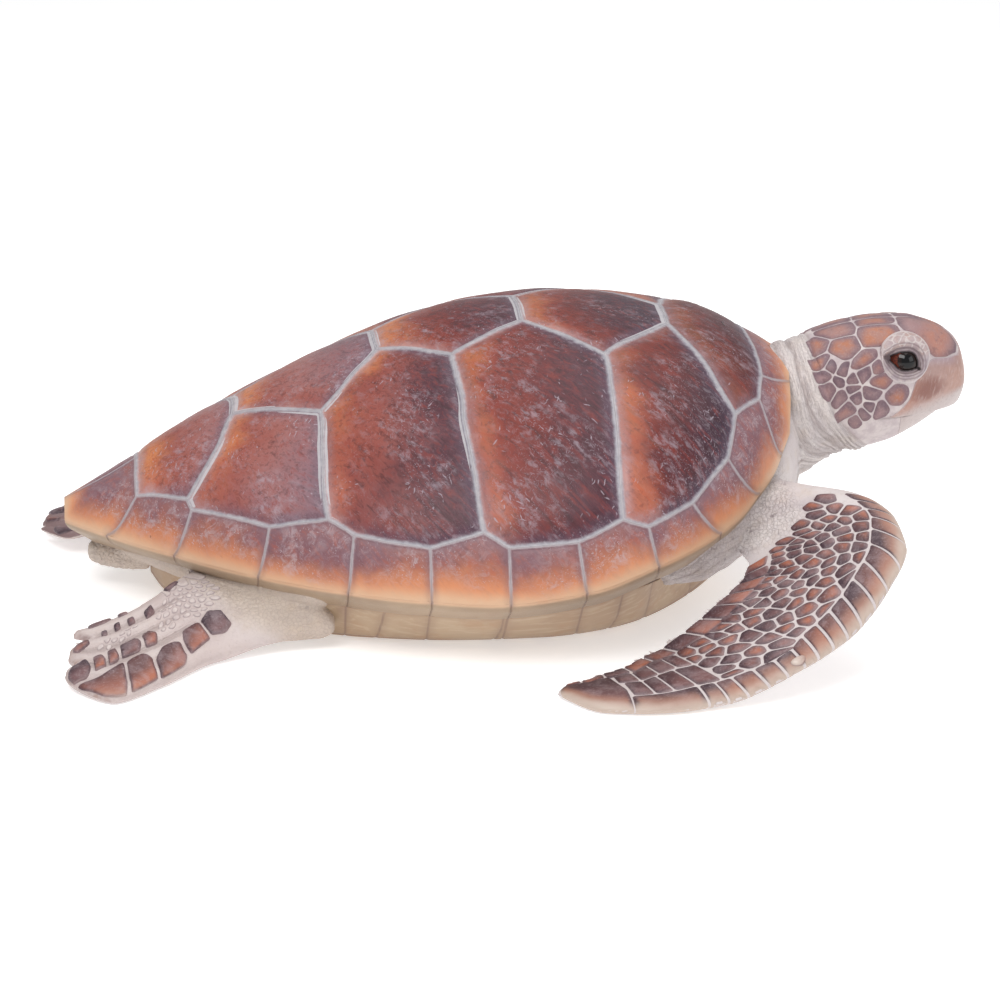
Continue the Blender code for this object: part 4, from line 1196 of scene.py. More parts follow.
def shoulder_relief(points, weight):
    cobbles = ease(pebbles(points + noise(points, 0.012, 31)[:, None] * 0.002, 0.0046, 33), 0.0, 0.4)
    folds = noise(points * np.array([1.0, 0.35, 1.0]), 0.012, 35)
    x, y, z = points.T
    armpit = ease(x, 0.09, 0.12) * (1 - ease(x, 0.20, 0.24)) * ease(np.abs(y), 0.11, 0.14)
    slant = x * 0.55 + np.abs(y) * 0.35 - z + noise(points, 0.020, 37) * 0.005
    creases = -0.0010 * armpit * (1 - np.abs(np.sin(slant * math.pi / 0.0090))) ** 2
    return weight * (cobbles * 0.00055 - 0.0003 + folds * 0.0009 + creases)


def mouth_crease(points):
    """The mouth's line where it runs back from the beak."""
    x, y, z = points.T
    place = ease(x, MOUTH_CORNER_X - 0.010, MOUTH_CORNER_X) * (1 - ease(x, 0.400, 0.406))
    place = place * ease(np.abs(y), 0.02, 0.03)
    line = MOUTH_Z - 0.10 * np.maximum(MOUTH_CORNER_X - x, 0)
    return -0.0011 * place * bump_at(z, line, 0.0014)


def tail_relief(points):
    """Low rings of small knobs round the tail."""
    x, y = points.T[:2]
    place = ease(-x, 0.350, 0.368) * (1 - ease(np.abs(y), 0.030, 0.042))
    rings = np.sin((x + noise(points, 0.012, 41) * 0.002) * 2 * math.pi / 0.0082)
    return place * (0.00022 * rings + 0.0006 * ease(pebbles(points, 0.0042, 43), 0.0, 0.4) - 0.0003)


# Limbs lie farther out than this; the hind ones lie behind the second number
LIMB_SIDE_Y, HIND_LIMB_X = 0.055, -0.12
# Shares of the length between which the brown of the toes begins, on the right and the left hind flipper
TOE_BROWN = {-1: (0.88, 1.12), 1: (0.45, 0.98)}


def soften_joins(points, ends):
    """Rounds off the skin where limbs, tail and neck meet the trunk, and the rims of the toes."""
    x, y = points.T[:2]
    root = bump_at(np.abs(y), 0.135, 0.055) * ease(x, 0.09, 0.14) * (1 - ease(x, 0.31, 0.34))
    hip = bump_at(np.abs(y), 0.110, 0.060) * (1 - ease(x, -0.16, -0.12)) * ease(x, -0.31, -0.27)
    tail_root = ease(-x, 0.31, 0.34) * (1 - ease(np.abs(y), 0.05, 0.07))
    neck_root = ease(x, 0.22, 0.24) * (1 - ease(x, 0.275, 0.290))
    points = relaxed(points, ends, 24, np.clip(root + hip + tail_root + neck_root, 0, 1) * 0.6)
    points = relaxed(points, ends, 2, 0.35)
    return relaxed(points, ends, 10, 0.5 * ((x < -0.36) & (np.abs(y) > 0.06)))


def build_skin():
    """The one skin of the flesh, drawn round the closed bodies."""
    skin = join(flesh_bodies(), "skin")
    remesh = skin.modifiers.new("remesh", "REMESH")
    remesh.mode, remesh.voxel_size, remesh.adaptivity = "VOXEL", SKIN_VOXEL, 0.0
    settle(skin)
    mesh = skin.data
    points = soften_joins(points_of(mesh), edge_ends(mesh))
    set_points(mesh, points)
    x, y, z = points.T
    place = neck_place(points)
    relief = neck_relief(points) + crease_at_head(points) * ease(x, 0.28, 0.30)
    limb, toe, bare = np.zeros(len(points)), np.zeros(len(points)), np.ones(len(points))
    for side, _ in SIDES:
        near = (y * side > LIMB_SIDE_Y) & (x > 0.0)
        t, angle, gap = limb_chart(points[near], lambda t, a, s=side: front_blade(t, a, s))
        limb[near] = limb_weight(gap) * ease(t, 0.16, 0.26)
        near = (y * side > LIMB_SIDE_Y) & (x < HIND_LIMB_X)
        t, angle, gap = limb_chart(points[near], lambda t, a, s=side: hind_blade(t, a, s))
        on = limb_weight(gap)
        relief[near] += on * hind_relief(t, angle, points[near])
        limb[near] = on * ease(t, 0.30, 0.50)
        bare[near] = 1 - on * ease(t, 0.32, 0.45)
        toe[near] = on * ease(t, *TOE_BROWN[side]) * ease(np.sin(angle), -0.1, 0.3)
    wrinkled = np.where((x > 0.0) & (place < 0.262), 1 - limb, bare * (x < 0))
    wrinkled *= (1 - ease(place, 0.250, 0.262)) * (1 - 0.5 * (x < HIND_LIMB_X))
    relief += shoulder_relief(points, wrinkled) + mouth_crease(points) + tail_relief(points)
    relief = np.where(z < 0.004, np.minimum(relief, 0), relief)
    points = points + normals_of(mesh) * relief[:, None]
    points[:, 2] = np.maximum(points[:, 2], 0)
    set_points(mesh, points)
    place = neck_place(points)
    numbers = {
        "relief": relief * 1000, "limb": limb, "wrinkled": wrinkled, "fold": place * 1000,
        "neck": ease(place, 0.235, 0.255) * (1 - ease(place, 0.3225, 0.3260)) * on_neck(points),
        "head": ease(place, 0.322, 0.328) * on_neck(points), "toe": toe,
    }
    for key, values in numbers.items():
        add_attribute(mesh, key, values)
    mesh.materials.clear()
    dress(skin, skin_paint(), None)
    nodes = ["trunk", "neck", "head", "tail"]
    nodes += [f"{limb}_flipper_{side}" for limb in ("front", "hind") for side in ("right", "left")]
    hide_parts(*nodes)
    return skin


def skin_paint():
    """Pale grey-beige skin with fine wrinkles, painted shade in its folds, a painted highlight on ridges,
    plum brown at the toes.
    """
    p = Paint("skin_paint", roughness=0.55, specular=0.35)
    relief, limb, wrinkled, neck, head, toe = p.numbers("relief", "limb", "wrinkled", "neck", "head", "toe")
    broad = p.noise(13.0, 3.0, 0.6)
    medium = p.noise(60.0, 4.0, 0.65)
    fine = p.noise(330.0, 3.0, 0.7)
    p.colour = p.mix(p.span(broad, 0.34, 0.66), paint(212, 204, 202), paint(196, 186, 186))
    p.lay(p.span(medium, 0.45, 0.7) * 0.4, 198, 182, 170)
    p.lay(p.span(p.noise(22.0, 3.0), 0.5, 0.68) * 0.3, 170, 160, 166)
    p.lay(limb * 0.6, p.mix(p.span(p.along(0), -0.1, 0.0), paint(186, 168, 164), paint(202, 192, 192)))
    ground = p.mix(p.span(medium, 0.36, 0.62), paint(206, 195, 193), paint(182, 168, 171))
    p.lay(head * 0.85, ground)
    behind = p.span(broad * 0.08 + p.along(0), -0.14, -0.06, 1.0, 0.0)
    p.lay(behind * wrinkled, 190, 168, 142)
    # painted shade: the skin is painted darker where its relief sinks into folds and creases
    fold_shade = p.span(relief, -1.3, 0.10, 1.0, 0.0)
    p.lay(fold_shade * 0.36, 128, 110, 106)
    # painted highlight: the skin is painted lighter where its relief rises
    high = p.span(relief, 0.2, 1.2)
    p.lay(high * 0.4, 220, 211, 206)
    flecks = p.span(p.noise(105.0, 2.0, 0.5), 0.67, 0.73)
    flecks *= wrinkled * 0.55
    p.lay(flecks, 112, 98, 104)
    p.lay(p.span(fine, 0.52, 0.72) * 0.22, 150, 134, 128)
    hide = wrinkled * 0.9 + (neck * 0.35 + 0.1)
    cracks = p.span(p.cells(250.0, vector=p.swayed(0.008, 0.002)), 0.0, 0.11, 1.0, 0.0)
    p.lay(cracks * hide * 0.3, 134, 120, 118)
    folds = p.node("ShaderNodeCombineXYZ")
    folds = p.feed(folds, p.number("fold") * 0.75, p.along(1) * 70.0, p.along(2) * 70.0)
    line = p.span(p.noise(1.0, 4.0, 0.6, 0.9, folds), 0.50, 0.62)
    line *= neck
    p.lay(line * 0.36, 140, 126, 126)
    brown = p.span(medium * 0.9 + toe, 0.7, 1.25) * 0.85
    p.lay(brown, p.mix(p.span(broad, 0.4, 0.6), paint(110, 82, 84), paint(140, 98, 82)))
    height = fine * 0.5 + medium
    height -= cracks * hide * 1.1
    height -= line * 0.9
    return p.finish(height, 0.0009, 0.6)


# ---------------------------------------------------------------- scales on the skin

SCALE_BEVEL = 0.0016
SCALE_SKIRT = 0.0016
SCALE_STEP = 0.0012
SCALE_CORNER = 0.0016
SCALE_SKIRT_SPREAD = 0.0003
SCALE_RINGS = np.array([0.0, 0.0, 0.0004, 0.0009, 0.0016, 0.0028, 0.0048])
RING_STEP = 0.0030
# Small steps that show which way a surface runs: share of a limb, radians, metres along the head
STEP_T, STEP_TURN, STEP_X = 0.004, 0.02, 0.0012
# Rays onto the skin start this far out, and reach this far
CAST_LIFT, CAST_REACH = 0.007, 0.016


class Chart:
    """A flat chart of a limb: metres from its root, and metres round its section from the leading edge.
    The second number is below zero on the upper face and above zero under the limb."""

    def __init__(self, surface, length, steps=160, sides=361, trim=None):
        self.surface, self.length, self.trim = surface, length, trim
        self.t = np.linspace(0.0, 1.0, steps)
        self.angle = np.linspace(math.pi, -math.pi, sides)
        grid = surface(self.t[:, None], self.angle[None])
        run = np.linalg.norm(np.diff(grid, axis=1), axis=-1)
        self.arc = np.concatenate([np.zeros((steps, 1)), np.cumsum(run, axis=1)], axis=1)
        self.lead = self.arc[:, sides // 2].copy()
        self.arc -= self.lead[:, None]

    def width(self, t):
        """Metres over the upper face from the trailing to the leading edge."""
        return np.interp(t, self.t, self.lead)

    def angles(self, places):
        t = np.clip(places[:, 0] / self.length, 0, 1)
        row = np.minimum((t * (len(self.t) - 1)).astype(int), len(self.t) - 2)
        part = t * (len(self.t) - 1) - row
        angle = np.empty(len(places))
        for k in np.unique(row):
            here = row == k
            low = np.interp(places[here, 1], self.arc[k], self.angle)
            high = np.interp(places[here, 1], self.arc[k + 1], self.angle)
            angle[here] = low + (high - low) * part[here]
        if self.trim:
            t = np.minimum(t / (1 - self.trim(np.cos(angle))), 0.995)
        return t, angle

    def __call__(self, places):
        """Points and outward directions at chart places."""
        t, angle = self.angles(places)
        point = self.surface(t, angle)
        ahead, behind = np.minimum(t + STEP_T, 1), np.maximum(t - STEP_T, 0)
        along = self.surface(ahead, angle) - self.surface(behind, angle)
        around = self.surface(t, angle + STEP_TURN) - self.surface(t, angle - STEP_TURN)
        middle = (self.surface(t, 0.0) + self.surface(t, math.pi)) / 2
        return point, away_from(middle, point, unit(np.cross(along, around)))


def head_chart(places):
    """Points and outward directions of the head: metres along X, and degrees from the crown over 1000."""
    x, turn = places[:, 0], places[:, 1] * 1000 * DEGREE
    point = head_surface(x, turn)
    along = head_surface(np.minimum(x + STEP_X, HEAD[-1][0]), turn) - head_surface(x - STEP_X, turn)
    around = head_surface(x, turn + STEP_TURN) - head_surface(x, turn - STEP_TURN)
    middle = np.stack([x - 0.02, np.zeros(len(x)), np.full(len(x), 0.200)], axis=-1)
    return point, away_from(middle, point, unit(np.cross(along, around)))


def clipped(polygon, middle, normal, shift):
    """The part of a polygon behind a line, or None."""
    if polygon is None:
        return None
    sides = (polygon - middle) @ normal - shift
    kept = []
    for k in range(len(polygon)):
        here, there = polygon[k], polygon[(k + 1) % len(polygon)]
        a, b = sides[k], sides[(k + 1) % len(polygon)]
        if a <= 0:
            kept.append(here)
        if (a < 0 < b) or (b < 0 < a):
            kept.append(here + (there - here) * (a / (a - b)))
    return np.array(kept) if len(kept) >= 3 else None


def side_normals(corners):
    """Directions across the sides of a shape, to the right of the way from each corner to the next."""
    side = unit(np.roll(corners, -1, axis=0) - corners)
    return np.stack([side[:, 1], -side[:, 0]], axis=-1)


def outer_normals(corners):
    normals = side_normals(corners)
    inward = ((corners.mean(axis=0) - corners) * normals).sum(axis=1) > 0
    return np.where(inward[:, None], -normals, normals)


def wide_enough(outline, least):
    return outline is not None and np.ptp(outline, axis=0).min() > least


def nearest_ground(seed, others, gap, reach=0.045, outline=None, count=30):
    """The outline of the ground nearer to seed than to the others, less half the gap all round."""
    if outline is None:
        outline = np.array([(-1, -1), (1, -1), (1, 1), (-1, 1)]) * reach + seed
    away = others - seed
    distance = np.linalg.norm(away, axis=1)
    for k in np.argsort(distance)[1:count]:
        outline = clipped(outline, (seed + others[k]) / 2, away[k] / distance[k], -gap / 2)
    return outline


def inset(corners, gap):
    """Corners in order round a shape, moved in by half the gap."""
    corners = np.asarray(corners, float)
    shape = np.array([(-1, -1), (1, -1), (1, 1), (-1, 1)]) * 0.2 + corners.mean(axis=0)
    for corner, normal in zip(corners, outer_normals(corners)):
        shape = clipped(shape, corner, normal, -gap / 2)
    return shape


def inset_hollow(corners, gap):
    """Moves the corners of a hollow-sided shape in along the middle of their two sides."""
    before, after = np.roll(corners, 1, axis=0), np.roll(corners, -1, axis=0)
    side = unit(after - before)
    area = (corners[:, 0] * after[:, 1] - after[:, 0] * corners[:, 1]).sum()
    return corners - np.stack([side[:, 1], -side[:, 0]], axis=-1) * (gap / 2) * np.sign(area)


def rounded(outline):
    for cut in (SCALE_CORNER, SCALE_CORNER * 0.35):
        after = np.roll(outline, -1, axis=0)
        side = np.linalg.norm(after - outline, axis=1, keepdims=True)
        share = np.minimum(cut / np.maximum(side, 1e-6), 0.36)
        pairs = [outline + (after - outline) * share, after + (outline - after) * share]
        outline = np.stack(pairs, axis=1).reshape(-1, 2)
    return outline


def evenly(outline, step):
    """The closed outline again, with points a step apart."""
    ring = np.vstack([outline, outline[:1]])
    run = np.concatenate([[0], np.cumsum(np.linalg.norm(np.diff(ring, axis=0), axis=1))])
    count = max(12, int(run[-1] / step))
    where = np.arange(count) * run[-1] / count
    return np.stack([np.interp(where, run, ring[:, k]) for k in range(2)], axis=-1)


def scale_patch(outline, height):
    """Chart places of one scale, its rise over the skin, depth from its edge, and faces."""
    loop = evenly(rounded(outline), SCALE_STEP)
    middle = loop.mean(axis=0)
    reach = np.linalg.norm(loop - middle, axis=1).mean()
    inner = np.arange(SCALE_RINGS[-1] + RING_STEP, reach * 0.94, RING_STEP) / reach
    steps = np.append(np.minimum(SCALE_RINGS / reach, np.linspace(0, 0.85, len(SCALE_RINGS))), inner)
    rings = loop + (middle - loop) * steps[:, None, None]
    depth = np.append(np.repeat(steps * reach, len(loop)), [reach, 0.0])
    bevel = np.sqrt(1 - (1 - np.minimum(depth / SCALE_BEVEL, 1)) ** 2)
    rise = height * (bevel + 0.35 * ease(depth, 0, 0.006))
    rise[:len(loop)] = -SCALE_SKIRT
    rise[-1] = -SCALE_SKIRT
    count, hub = len(loop), rings.shape[0] * len(loop)
    fans = [fan_faces(np.arange(count) + hub - count, hub), fan_faces(np.arange(count)[::-1], hub + 1)]
    faces = (grid_faces(rings.shape[0], count, wrap=True), np.vstack(fans))
    return np.vstack([rings.reshape(-1, 2), middle, middle]), rise, depth, faces


def add_bake_map(piece, flat, faces, hidden):
    """The map for baked colours: the chart, once for the scales and once for their hidden backs."""
    flat = (flat - flat.min(axis=0))[:, np.argsort(-np.ptp(flat, axis=0))]
    size = 1.02 * max(np.ptp(flat[:, 0]), 2 * 1.02 * np.ptp(flat[:, 1]))
    backs = np.concatenate([np.zeros(faces[0].size, bool), np.repeat(hidden, 3)])
    corners = flat[np.concatenate([face.ravel() for face in faces])] / size + 0.004
    corners[backs, 1] += 0.5
    layer = piece.data.uv_layers.new(name="OFBake", do_init=False)
    layer.uv.foreach_set("vector", corners.astype(np.float32).ravel())


def skin_caster(skin):
    """Puts points on the skin along their outward directions."""
    tree = BVHTree.FromObject(skin, bpy.context.evaluated_depsgraph_get())

    def cast(points, outward):
        placed = points.copy()
        for k, (point, away) in enumerate(zip(points, outward)):
            hit = tree.ray_cast(Vector(point + away * CAST_LIFT), Vector(-away), CAST_REACH)[0]
            if hit is not None:
                placed[k] = hit
        return placed

    return cast


def build_scales(name, scales, chart, on_skin, surface, fade=None):
    """One piece from many scales, each (outline in the chart, tone, height); fade lowers them by place."""
    places, rises, depths, tones, shifts, quads, triangles, flats, hidden = ([] for _ in range(9))
    first = 0
    for outline, tone, height in scales:
        place, rise, depth, faces = scale_patch(outline, height)
        shifts.append((place - place[-1]) / np.ptp(place, axis=0) * 2)
        places.append(place)
        rises.append(rise)
        depths.append(depth)
        tones.append(np.full(len(place), tone))
        quads.append(faces[0] + first)
        triangles.append(faces[1] + first)
        first += len(place)
        count = len(faces[1]) // 2
        flats.append(place.copy())
        flats[-1][:count] += unit(place[:count] - place[-1]) * SCALE_SKIRT_SPREAD
        hidden.append(np.arange(len(faces[1])) >= count)
    places, faces = np.vstack(places), [np.vstack(quads), np.vstack(triangles)]
    base, outward = chart(places)
    rise = np.concatenate(rises)
    if fade:
        rise = np.where(rise > 0, rise * fade(places), rise)
    points = on_skin(base, outward) + outward * rise[:, None]
    points[:, 2] = np.maximum(points[:, 2], 0.0001)
    ahead, out = np.vstack(shifts).T
    numbers = {
        "depth": np.concatenate(depths) * 1000, "tone": np.concatenate(tones), "place": places[:, 1] * 1000,
        "ahead": ahead, "out": out,
    }
    faces = wound_outward(points, faces, outward)
    piece = mesh_object(name, points, faces, numbers)
    add_bake_map(piece, np.vstack(flats), faces, np.concatenate(hidden))
    dress(piece, surface, None)


def tone_of(middle):
    cell = np.round(np.array([[middle[0] * 1000, middle[1] * 1000, 0]])).astype(int)
    return float(hashed(cell, 3)[0])


# ---------------------------------------------------------------- front flipper scales

FRONT_LENGTH = 0.481
FRONT_GAP = 0.0019
LEADING_SEAMS = (
    0.172, 0.204, 0.238, 0.272, 0.312, 0.358, 0.403, 0.444, 0.480, 0.511, 0.541, 0.571, 0.600, 0.630, 0.660,
    0.692, 0.722, 0.752, 0.862,
)
# How far each seam of the leading row runs toward the tip on its way out, as a slope.
LEADING_LEAN = (
    (0.15, 0.90), (0.36, 0.78), (0.44, 0.60), (0.51, 0.46), (0.60, 0.25), (0.70, 0.12), (0.87, 0.10),
)
LEADING_DEPTH = (
    (0.17, 0.022), (0.25, 0.024), (0.32, 0.031), (0.40, 0.039), (0.56, 0.038), (0.62, 0.026), (0.70, 0.032),
    (0.87, 0.024),
)
TRAILING_DEPTH = ((0.18, 0.020), (0.40, 0.029), (0.55, 0.025), (0.70, 0.022), (0.85, 0.016), (0.96, 0.008))
LEADING_WRAP = 0.013
ROW_STEP, COLUMN_STEP = 0.0142, 0.0170
MIDDLE_END = 0.705
# Where the scales begin, as shares of the length, by metres in from the leading edge.
SCALES_START = ((0.00, 0.150), (0.05, 0.168), (0.07, 0.195), (0.10, 0.235), (0.14, 0.295), (0.16, 0.350))
TIP_SEAMS = (0.705, 0.752, 0.790, 0.822, 0.857)
TIP_UPPER_SEAMS = (0.705, 0.740, 0.780, 0.822, 0.865)
# Corners of the last scale: share of the length, and metres past the edge (below 0: share of the width)
LAST_SCALE = (
    (0.866, 0.006), (0.858, -0.40), (0.872, -0.84), (0.935, -0.87), (0.990, -0.88), (0.997, -0.40),
    (0.990, 0.004),
)
FRONT_SCALE_HEIGHT, MIDDLE_SCALE_HEIGHT = 0.0010, 0.0011
LEAST_MIDDLE_SCALE = 0.0035


def front_leading():
    """The row of wide scales that wraps the leading edge."""
    made = []
    for start, end in zip(LEADING_SEAMS, LEADING_SEAMS[1:]):
        outer, inner = [], []
        for t in (start, end):
            depth = smooth(LEADING_DEPTH, t)
            lean = smooth(LEADING_LEAN, t) * (depth + LEADING_WRAP)
            outer.append((t * FRONT_LENGTH + lean, LEADING_WRAP))
            inner.append((t * FRONT_LENGTH, -depth))
        made.append((inset(outer + inner[::-1], FRONT_GAP), start * 7 % 1, FRONT_SCALE_HEIGHT))
    return made


def front_trailing(chart):
    """The row of slender scales whose ends make the scallops of the trailing edge."""
    made = []
    for k in range(5, TRAILING_LOBES):
        start, end = k / TRAILING_LOBES, (k + 1) / TRAILING_LOBES
        if k == TRAILING_LOBES - 1:
            end = 0.985
        depth = smooth(TRAILING_DEPTH, (start + end) / 2)
        lean = 0.020 * (1 - start) - 0.001
        outer = [(t * FRONT_LENGTH, 0.0005 - chart.width(t)) for t in (start, end)]
        inner = [(t * FRONT_LENGTH - lean, depth - chart.width(t)) for t in (end, start)]
        made.append((inset(outer + inner, FRONT_GAP), k * 0.37 % 1, FRONT_SCALE_HEIGHT))
    return made


def middle_edges(chart, t):
    """The chart's second number where the mosaic meets the trailing and the leading row."""
    return smooth(TRAILING_DEPTH, t) - chart.width(t), -smooth(LEADING_DEPTH, t)


def front_middle(chart):
    """The mosaic between the two edge rows."""
    seeds, made = [], []
    start, end = 0.160 * FRONT_LENGTH, MIDDLE_END * FRONT_LENGTH
    rows = int((end - start) / ROW_STEP)
    for row in range(-1, rows + 2):
        s = start + (row + 0.5) * (end - start) / rows
        low, high = middle_edges(chart, s / FRONT_LENGTH)
        columns = max(2, round((high - low) / COLUMN_STEP))
        for column in range(columns):
            place = (column + 0.5 + 0.5 * (row % 2) - 0.25) / columns
            draws = hashed(np.array([[row + 9, column + 9, 1], [row + 9, column + 9, 2]]), 4)
            wander = (draws - 0.5) * 0.62
            seeds.append((s + wander[0] * ROW_STEP, low + (high - low) * place + wander[1] * COLUMN_STEP))
    seeds = np.array(seeds)
    for seed in seeds:
        t = seed[0] / FRONT_LENGTH
        low, high = middle_edges(chart, t)
        begin = smooth(SCALES_START, -seed[1]) * FRONT_LENGTH
        if not (low < seed[1] < high and begin < seed[0] < end):
            continue
        outline = nearest_ground(seed, seeds, FRONT_GAP)
        behind, ahead = (middle_edges(chart, t + e) for e in (-0.02, 0.02))
        for k, (edge, sign) in enumerate(((low, -1.0), (high, 1.0))):
            tilt = (ahead[k] - behind[k]) / (0.04 * FRONT_LENGTH)
            normal = unit(np.array([-tilt, 1.0])) * sign
            outline = clipped(outline, np.array([seed[0], edge]), normal, -FRONT_GAP / 2)
        outline = clipped(outline, np.array([end, 0.0]), np.array([1.0, 0.0]), -FRONT_GAP / 2)
        if wide_enough(outline, LEAST_MIDDLE_SCALE):
            made.append((outline, tone_of(seed) * 0.8, MIDDLE_SCALE_HEIGHT))
    return made


def front_tip(chart):
    """Rows of long scales toward the tip, and the pointed last one."""
    def corner(t, share):
        low, high = middle_edges(chart, t)
        return t * FRONT_LENGTH, low + (high - low) * share

    made = []
    for seams, low, high in ((TIP_SEAMS, 0.42, 1.0), (TIP_UPPER_SEAMS, 0.0, 0.42)):
        for start, end in zip(seams, seams[1:]):
            corners = [corner(start, low), corner(end, low), corner(end, high), corner(start, high)]
            made.append((inset(corners, FRONT_GAP), start * 11 % 0.5, FRONT_SCALE_HEIGHT))
    last = [(t * FRONT_LENGTH, share * (chart.width(t) if share < 0 else 1)) for t, share in LAST_SCALE]
    made.append((inset(last, FRONT_GAP), 0.15, FRONT_SCALE_HEIGHT))
    return made


def wrap_fade(places):
    """Scales that wrap the leading edge lie flatter round it."""
    return 1 - 0.85 * ease(places[:, 1], -0.012, 0.002)


def build_front_scales(side, name, on_skin, surface):
    chart = Chart(lambda t, angle: front_blade(t, angle, side), FRONT_LENGTH)
    scales = front_leading() + front_trailing(chart) + front_middle(chart) + front_tip(chart)
    scales = [scale for scale in scales if scale[0] is not None]
    build_scales(f"scales_front_{name}", scales, chart, on_skin, surface, wrap_fade)
    return chart


# ---------------------------------------------------------------- hind flipper scales

HIND_LENGTH = 0.287
HIND_GAP, BEAD_GAP = 0.0014, 0.0022
HIND_SCALE_HEIGHT, BEAD_HEIGHT = 0.0018, 0.0007
# Corners of (share of the length, mm in from the leading edge), and a tone.
HIND_SCALES = (
    (((0.400, 64), (0.405, 42), (0.440, 34), (0.486, 38), (0.488, 60), (0.440, 70)), 0.1),
    (((0.492, 60), (0.490, 34), (0.572, 24), (0.576, 46), (0.560, 58)), 0.6),
    (((0.582, 46), (0.580, 26), (0.594, 14), (0.676, 12), (0.674, 46), (0.640, 55), (0.606, 52)), 0.5),
    (((0.680, 47), (0.680, 14), (0.772, 10), (0.774, 57), (0.735, 61), (0.704, 59)), 0.7),
    (
        ((0.779, 57), (0.777, 30), (0.785, 8), (0.860, 12), (0.935, 30), (0.952, 38), (0.912, 46),
         (0.847, 54), (0.788, 60)),
        0.5,
    ),
    (
        ((0.985, 58), (0.985, 68), (0.968, 78), (0.922, 88), (0.902, 76), (0.900, 62), (0.914, 51),
         (0.960, 43)),
        0.2,
    ),
    (((0.897, 87), (0.862, 90), (0.845, 82), (0.842, 65), (0.888, 58)), 0.8),
    (((0.840, 92), (0.804, 93), (0.792, 78), (0.794, 68), (0.836, 64)), 0.6),
    (((0.788, 95), (0.716, 94), (0.700, 80), (0.714, 66), (0.787, 68)), 0.3),
    (((0.694, 93), (0.656, 94), (0.636, 80), (0.648, 64), (0.694, 68)), 0.6),
    (((0.985, 108), (0.972, 118), (0.912, 128), (0.905, 114), (0.962, 104)), 0.5),
    (((0.930, 170), (0.897, 180), (0.811, 178), (0.795, 169), (0.830, 163), (0.920, 162)), 0.1),
    (((0.771, 170), (0.716, 166), (0.709, 152), (0.768, 157)), 0.3),
    (((0.862, 146), (0.828, 146), (0.828, 133), (0.860, 134)), 0.2),
    (((0.800, 147), (0.764, 146), (0.764, 133), (0.798, 134)), 0.1),
    (((0.734, 141), (0.694, 139), (0.692, 127), (0.732, 128)), 0.3),
    (((0.652, 135), (0.602, 134), (0.600, 118), (0.648, 116)), 0.05),
    (((0.516, 132), (0.424, 142), (0.420, 132), (0.504, 122)), 0.1),
)
PALE_TONE = -1.0
BEAD_STEP = 0.0092
# Ground of the small pale scales, in the same numbers as the large ones.
BEAD_GROUND = (
    ((0.33, 128), (0.33, 100), (0.40, 76), (0.50, 66), (0.62, 74), (0.63, 90), (0.56, 116), (0.45, 134)),
    ((0.93, 108), (0.90, 96), (0.81, 99), (0.70, 98), (0.70, 114), (0.82, 113)),
)


def inside(place, corners):
    """True for a place within a shape that bulges outward at every corner."""
    after = np.roll(corners, -1, axis=0)
    turn = np.cross(after - corners, place - corners)
    return bool((turn > 0).all() or (turn < 0).all())


def hind_corners(corners):
    return np.array([(t * HIND_LENGTH, -mm / 1000) for t, mm in corners])


def hind_beads():
    """Small pale scales over the middle of the paddle."""
    grounds = [hind_corners(corners) for corners in BEAD_GROUND]
    rows, columns = (part.ravel() for part in np.meshgrid(np.arange(6, 34), np.arange(6, 14), indexing="ij"))
    draws = [hashed(np.stack([rows, columns, np.full(rows.size, k)], axis=-1), 6) for k in (1, 2)]
    seeds = np.stack([rows, columns + 0.5 * (rows % 2)], axis=-1) + (np.stack(draws, axis=-1) - 0.5) * 0.5
    seeds = seeds * (BEAD_STEP, -BEAD_STEP)
    inner = [seed for seed in seeds if any(inside(seed, ground) for ground in grounds)]
    outlines = [nearest_ground(seed, seeds, BEAD_GAP) for seed in inner]
    return [(outline, PALE_TONE, BEAD_HEIGHT) for outline in outlines if outline is not None]


def build_hind_scales(side, name, on_skin, surface):
    chart = Chart(lambda t, angle: hind_blade(t, angle, side), HIND_LENGTH, trim=toe_trim)
    scales = [
        (inset(hind_corners(corners), HIND_GAP), tone, HIND_SCALE_HEIGHT) for corners, tone in HIND_SCALES
    ]
    build_scales(f"scales_hind_{name}", scales + hind_beads(), chart, on_skin, surface)


# ---------------------------------------------------------------- head scales

HEAD_GAP = 0.0010
HEAD_SCALE_HEIGHT, SMALL_SCALE_HEIGHT, LEAST_HEAD_SCALE = 0.0008, 0.0007, 0.0025
SMALL_SCALE_SPREAD = 2.30
# Corners of (mm along X, degrees down from the crown), and a tone.
HEAD_SCALES = (
    (((334, 9), (334, 0), (366, 0), (367, 14), (364, 25), (345, 24)), 0.5),
    (((325.5, 12), (334, 9), (345, 24), (338, 37), (325.5, 38)), 0.7),
    (((345, 24), (364, 25), (366, 44), (355, 53), (348, 52), (338, 37)), 0.8),
    (((366, 0), (397, 0), (396.5, 10), (393, 15.5), (367, 14)), 0.6),
    (((367, 14), (393, 15.5), (396.5, 18), (398, 30), (390, 44), (379.5, 47), (366, 44), (364, 25)), 0.85),
    (
        ((397, 0), (440, 0), (450, 12), (456, 27), (453, 49), (441, 62), (427, 64), (416, 56), (407, 44),
         (400, 30), (396, 16.5), (396.5, 10)),
        0.35,
    ),
    (((355, 53), (366, 44), (377, 47), (377, 57), (369, 62), (357, 65), (351, 61)), 0.65),
    (((369, 62), (377, 57), (382, 71), (378, 74), (369, 73)), 0.55),
    (((364, 76), (369, 73), (382, 72), (388, 78), (386, 83), (378, 88), (365, 81)), 0.7),
    (((375, 90), (388, 83), (398, 86), (402.5, 91), (400, 97), (393, 102), (381, 99)), 0.85),
)
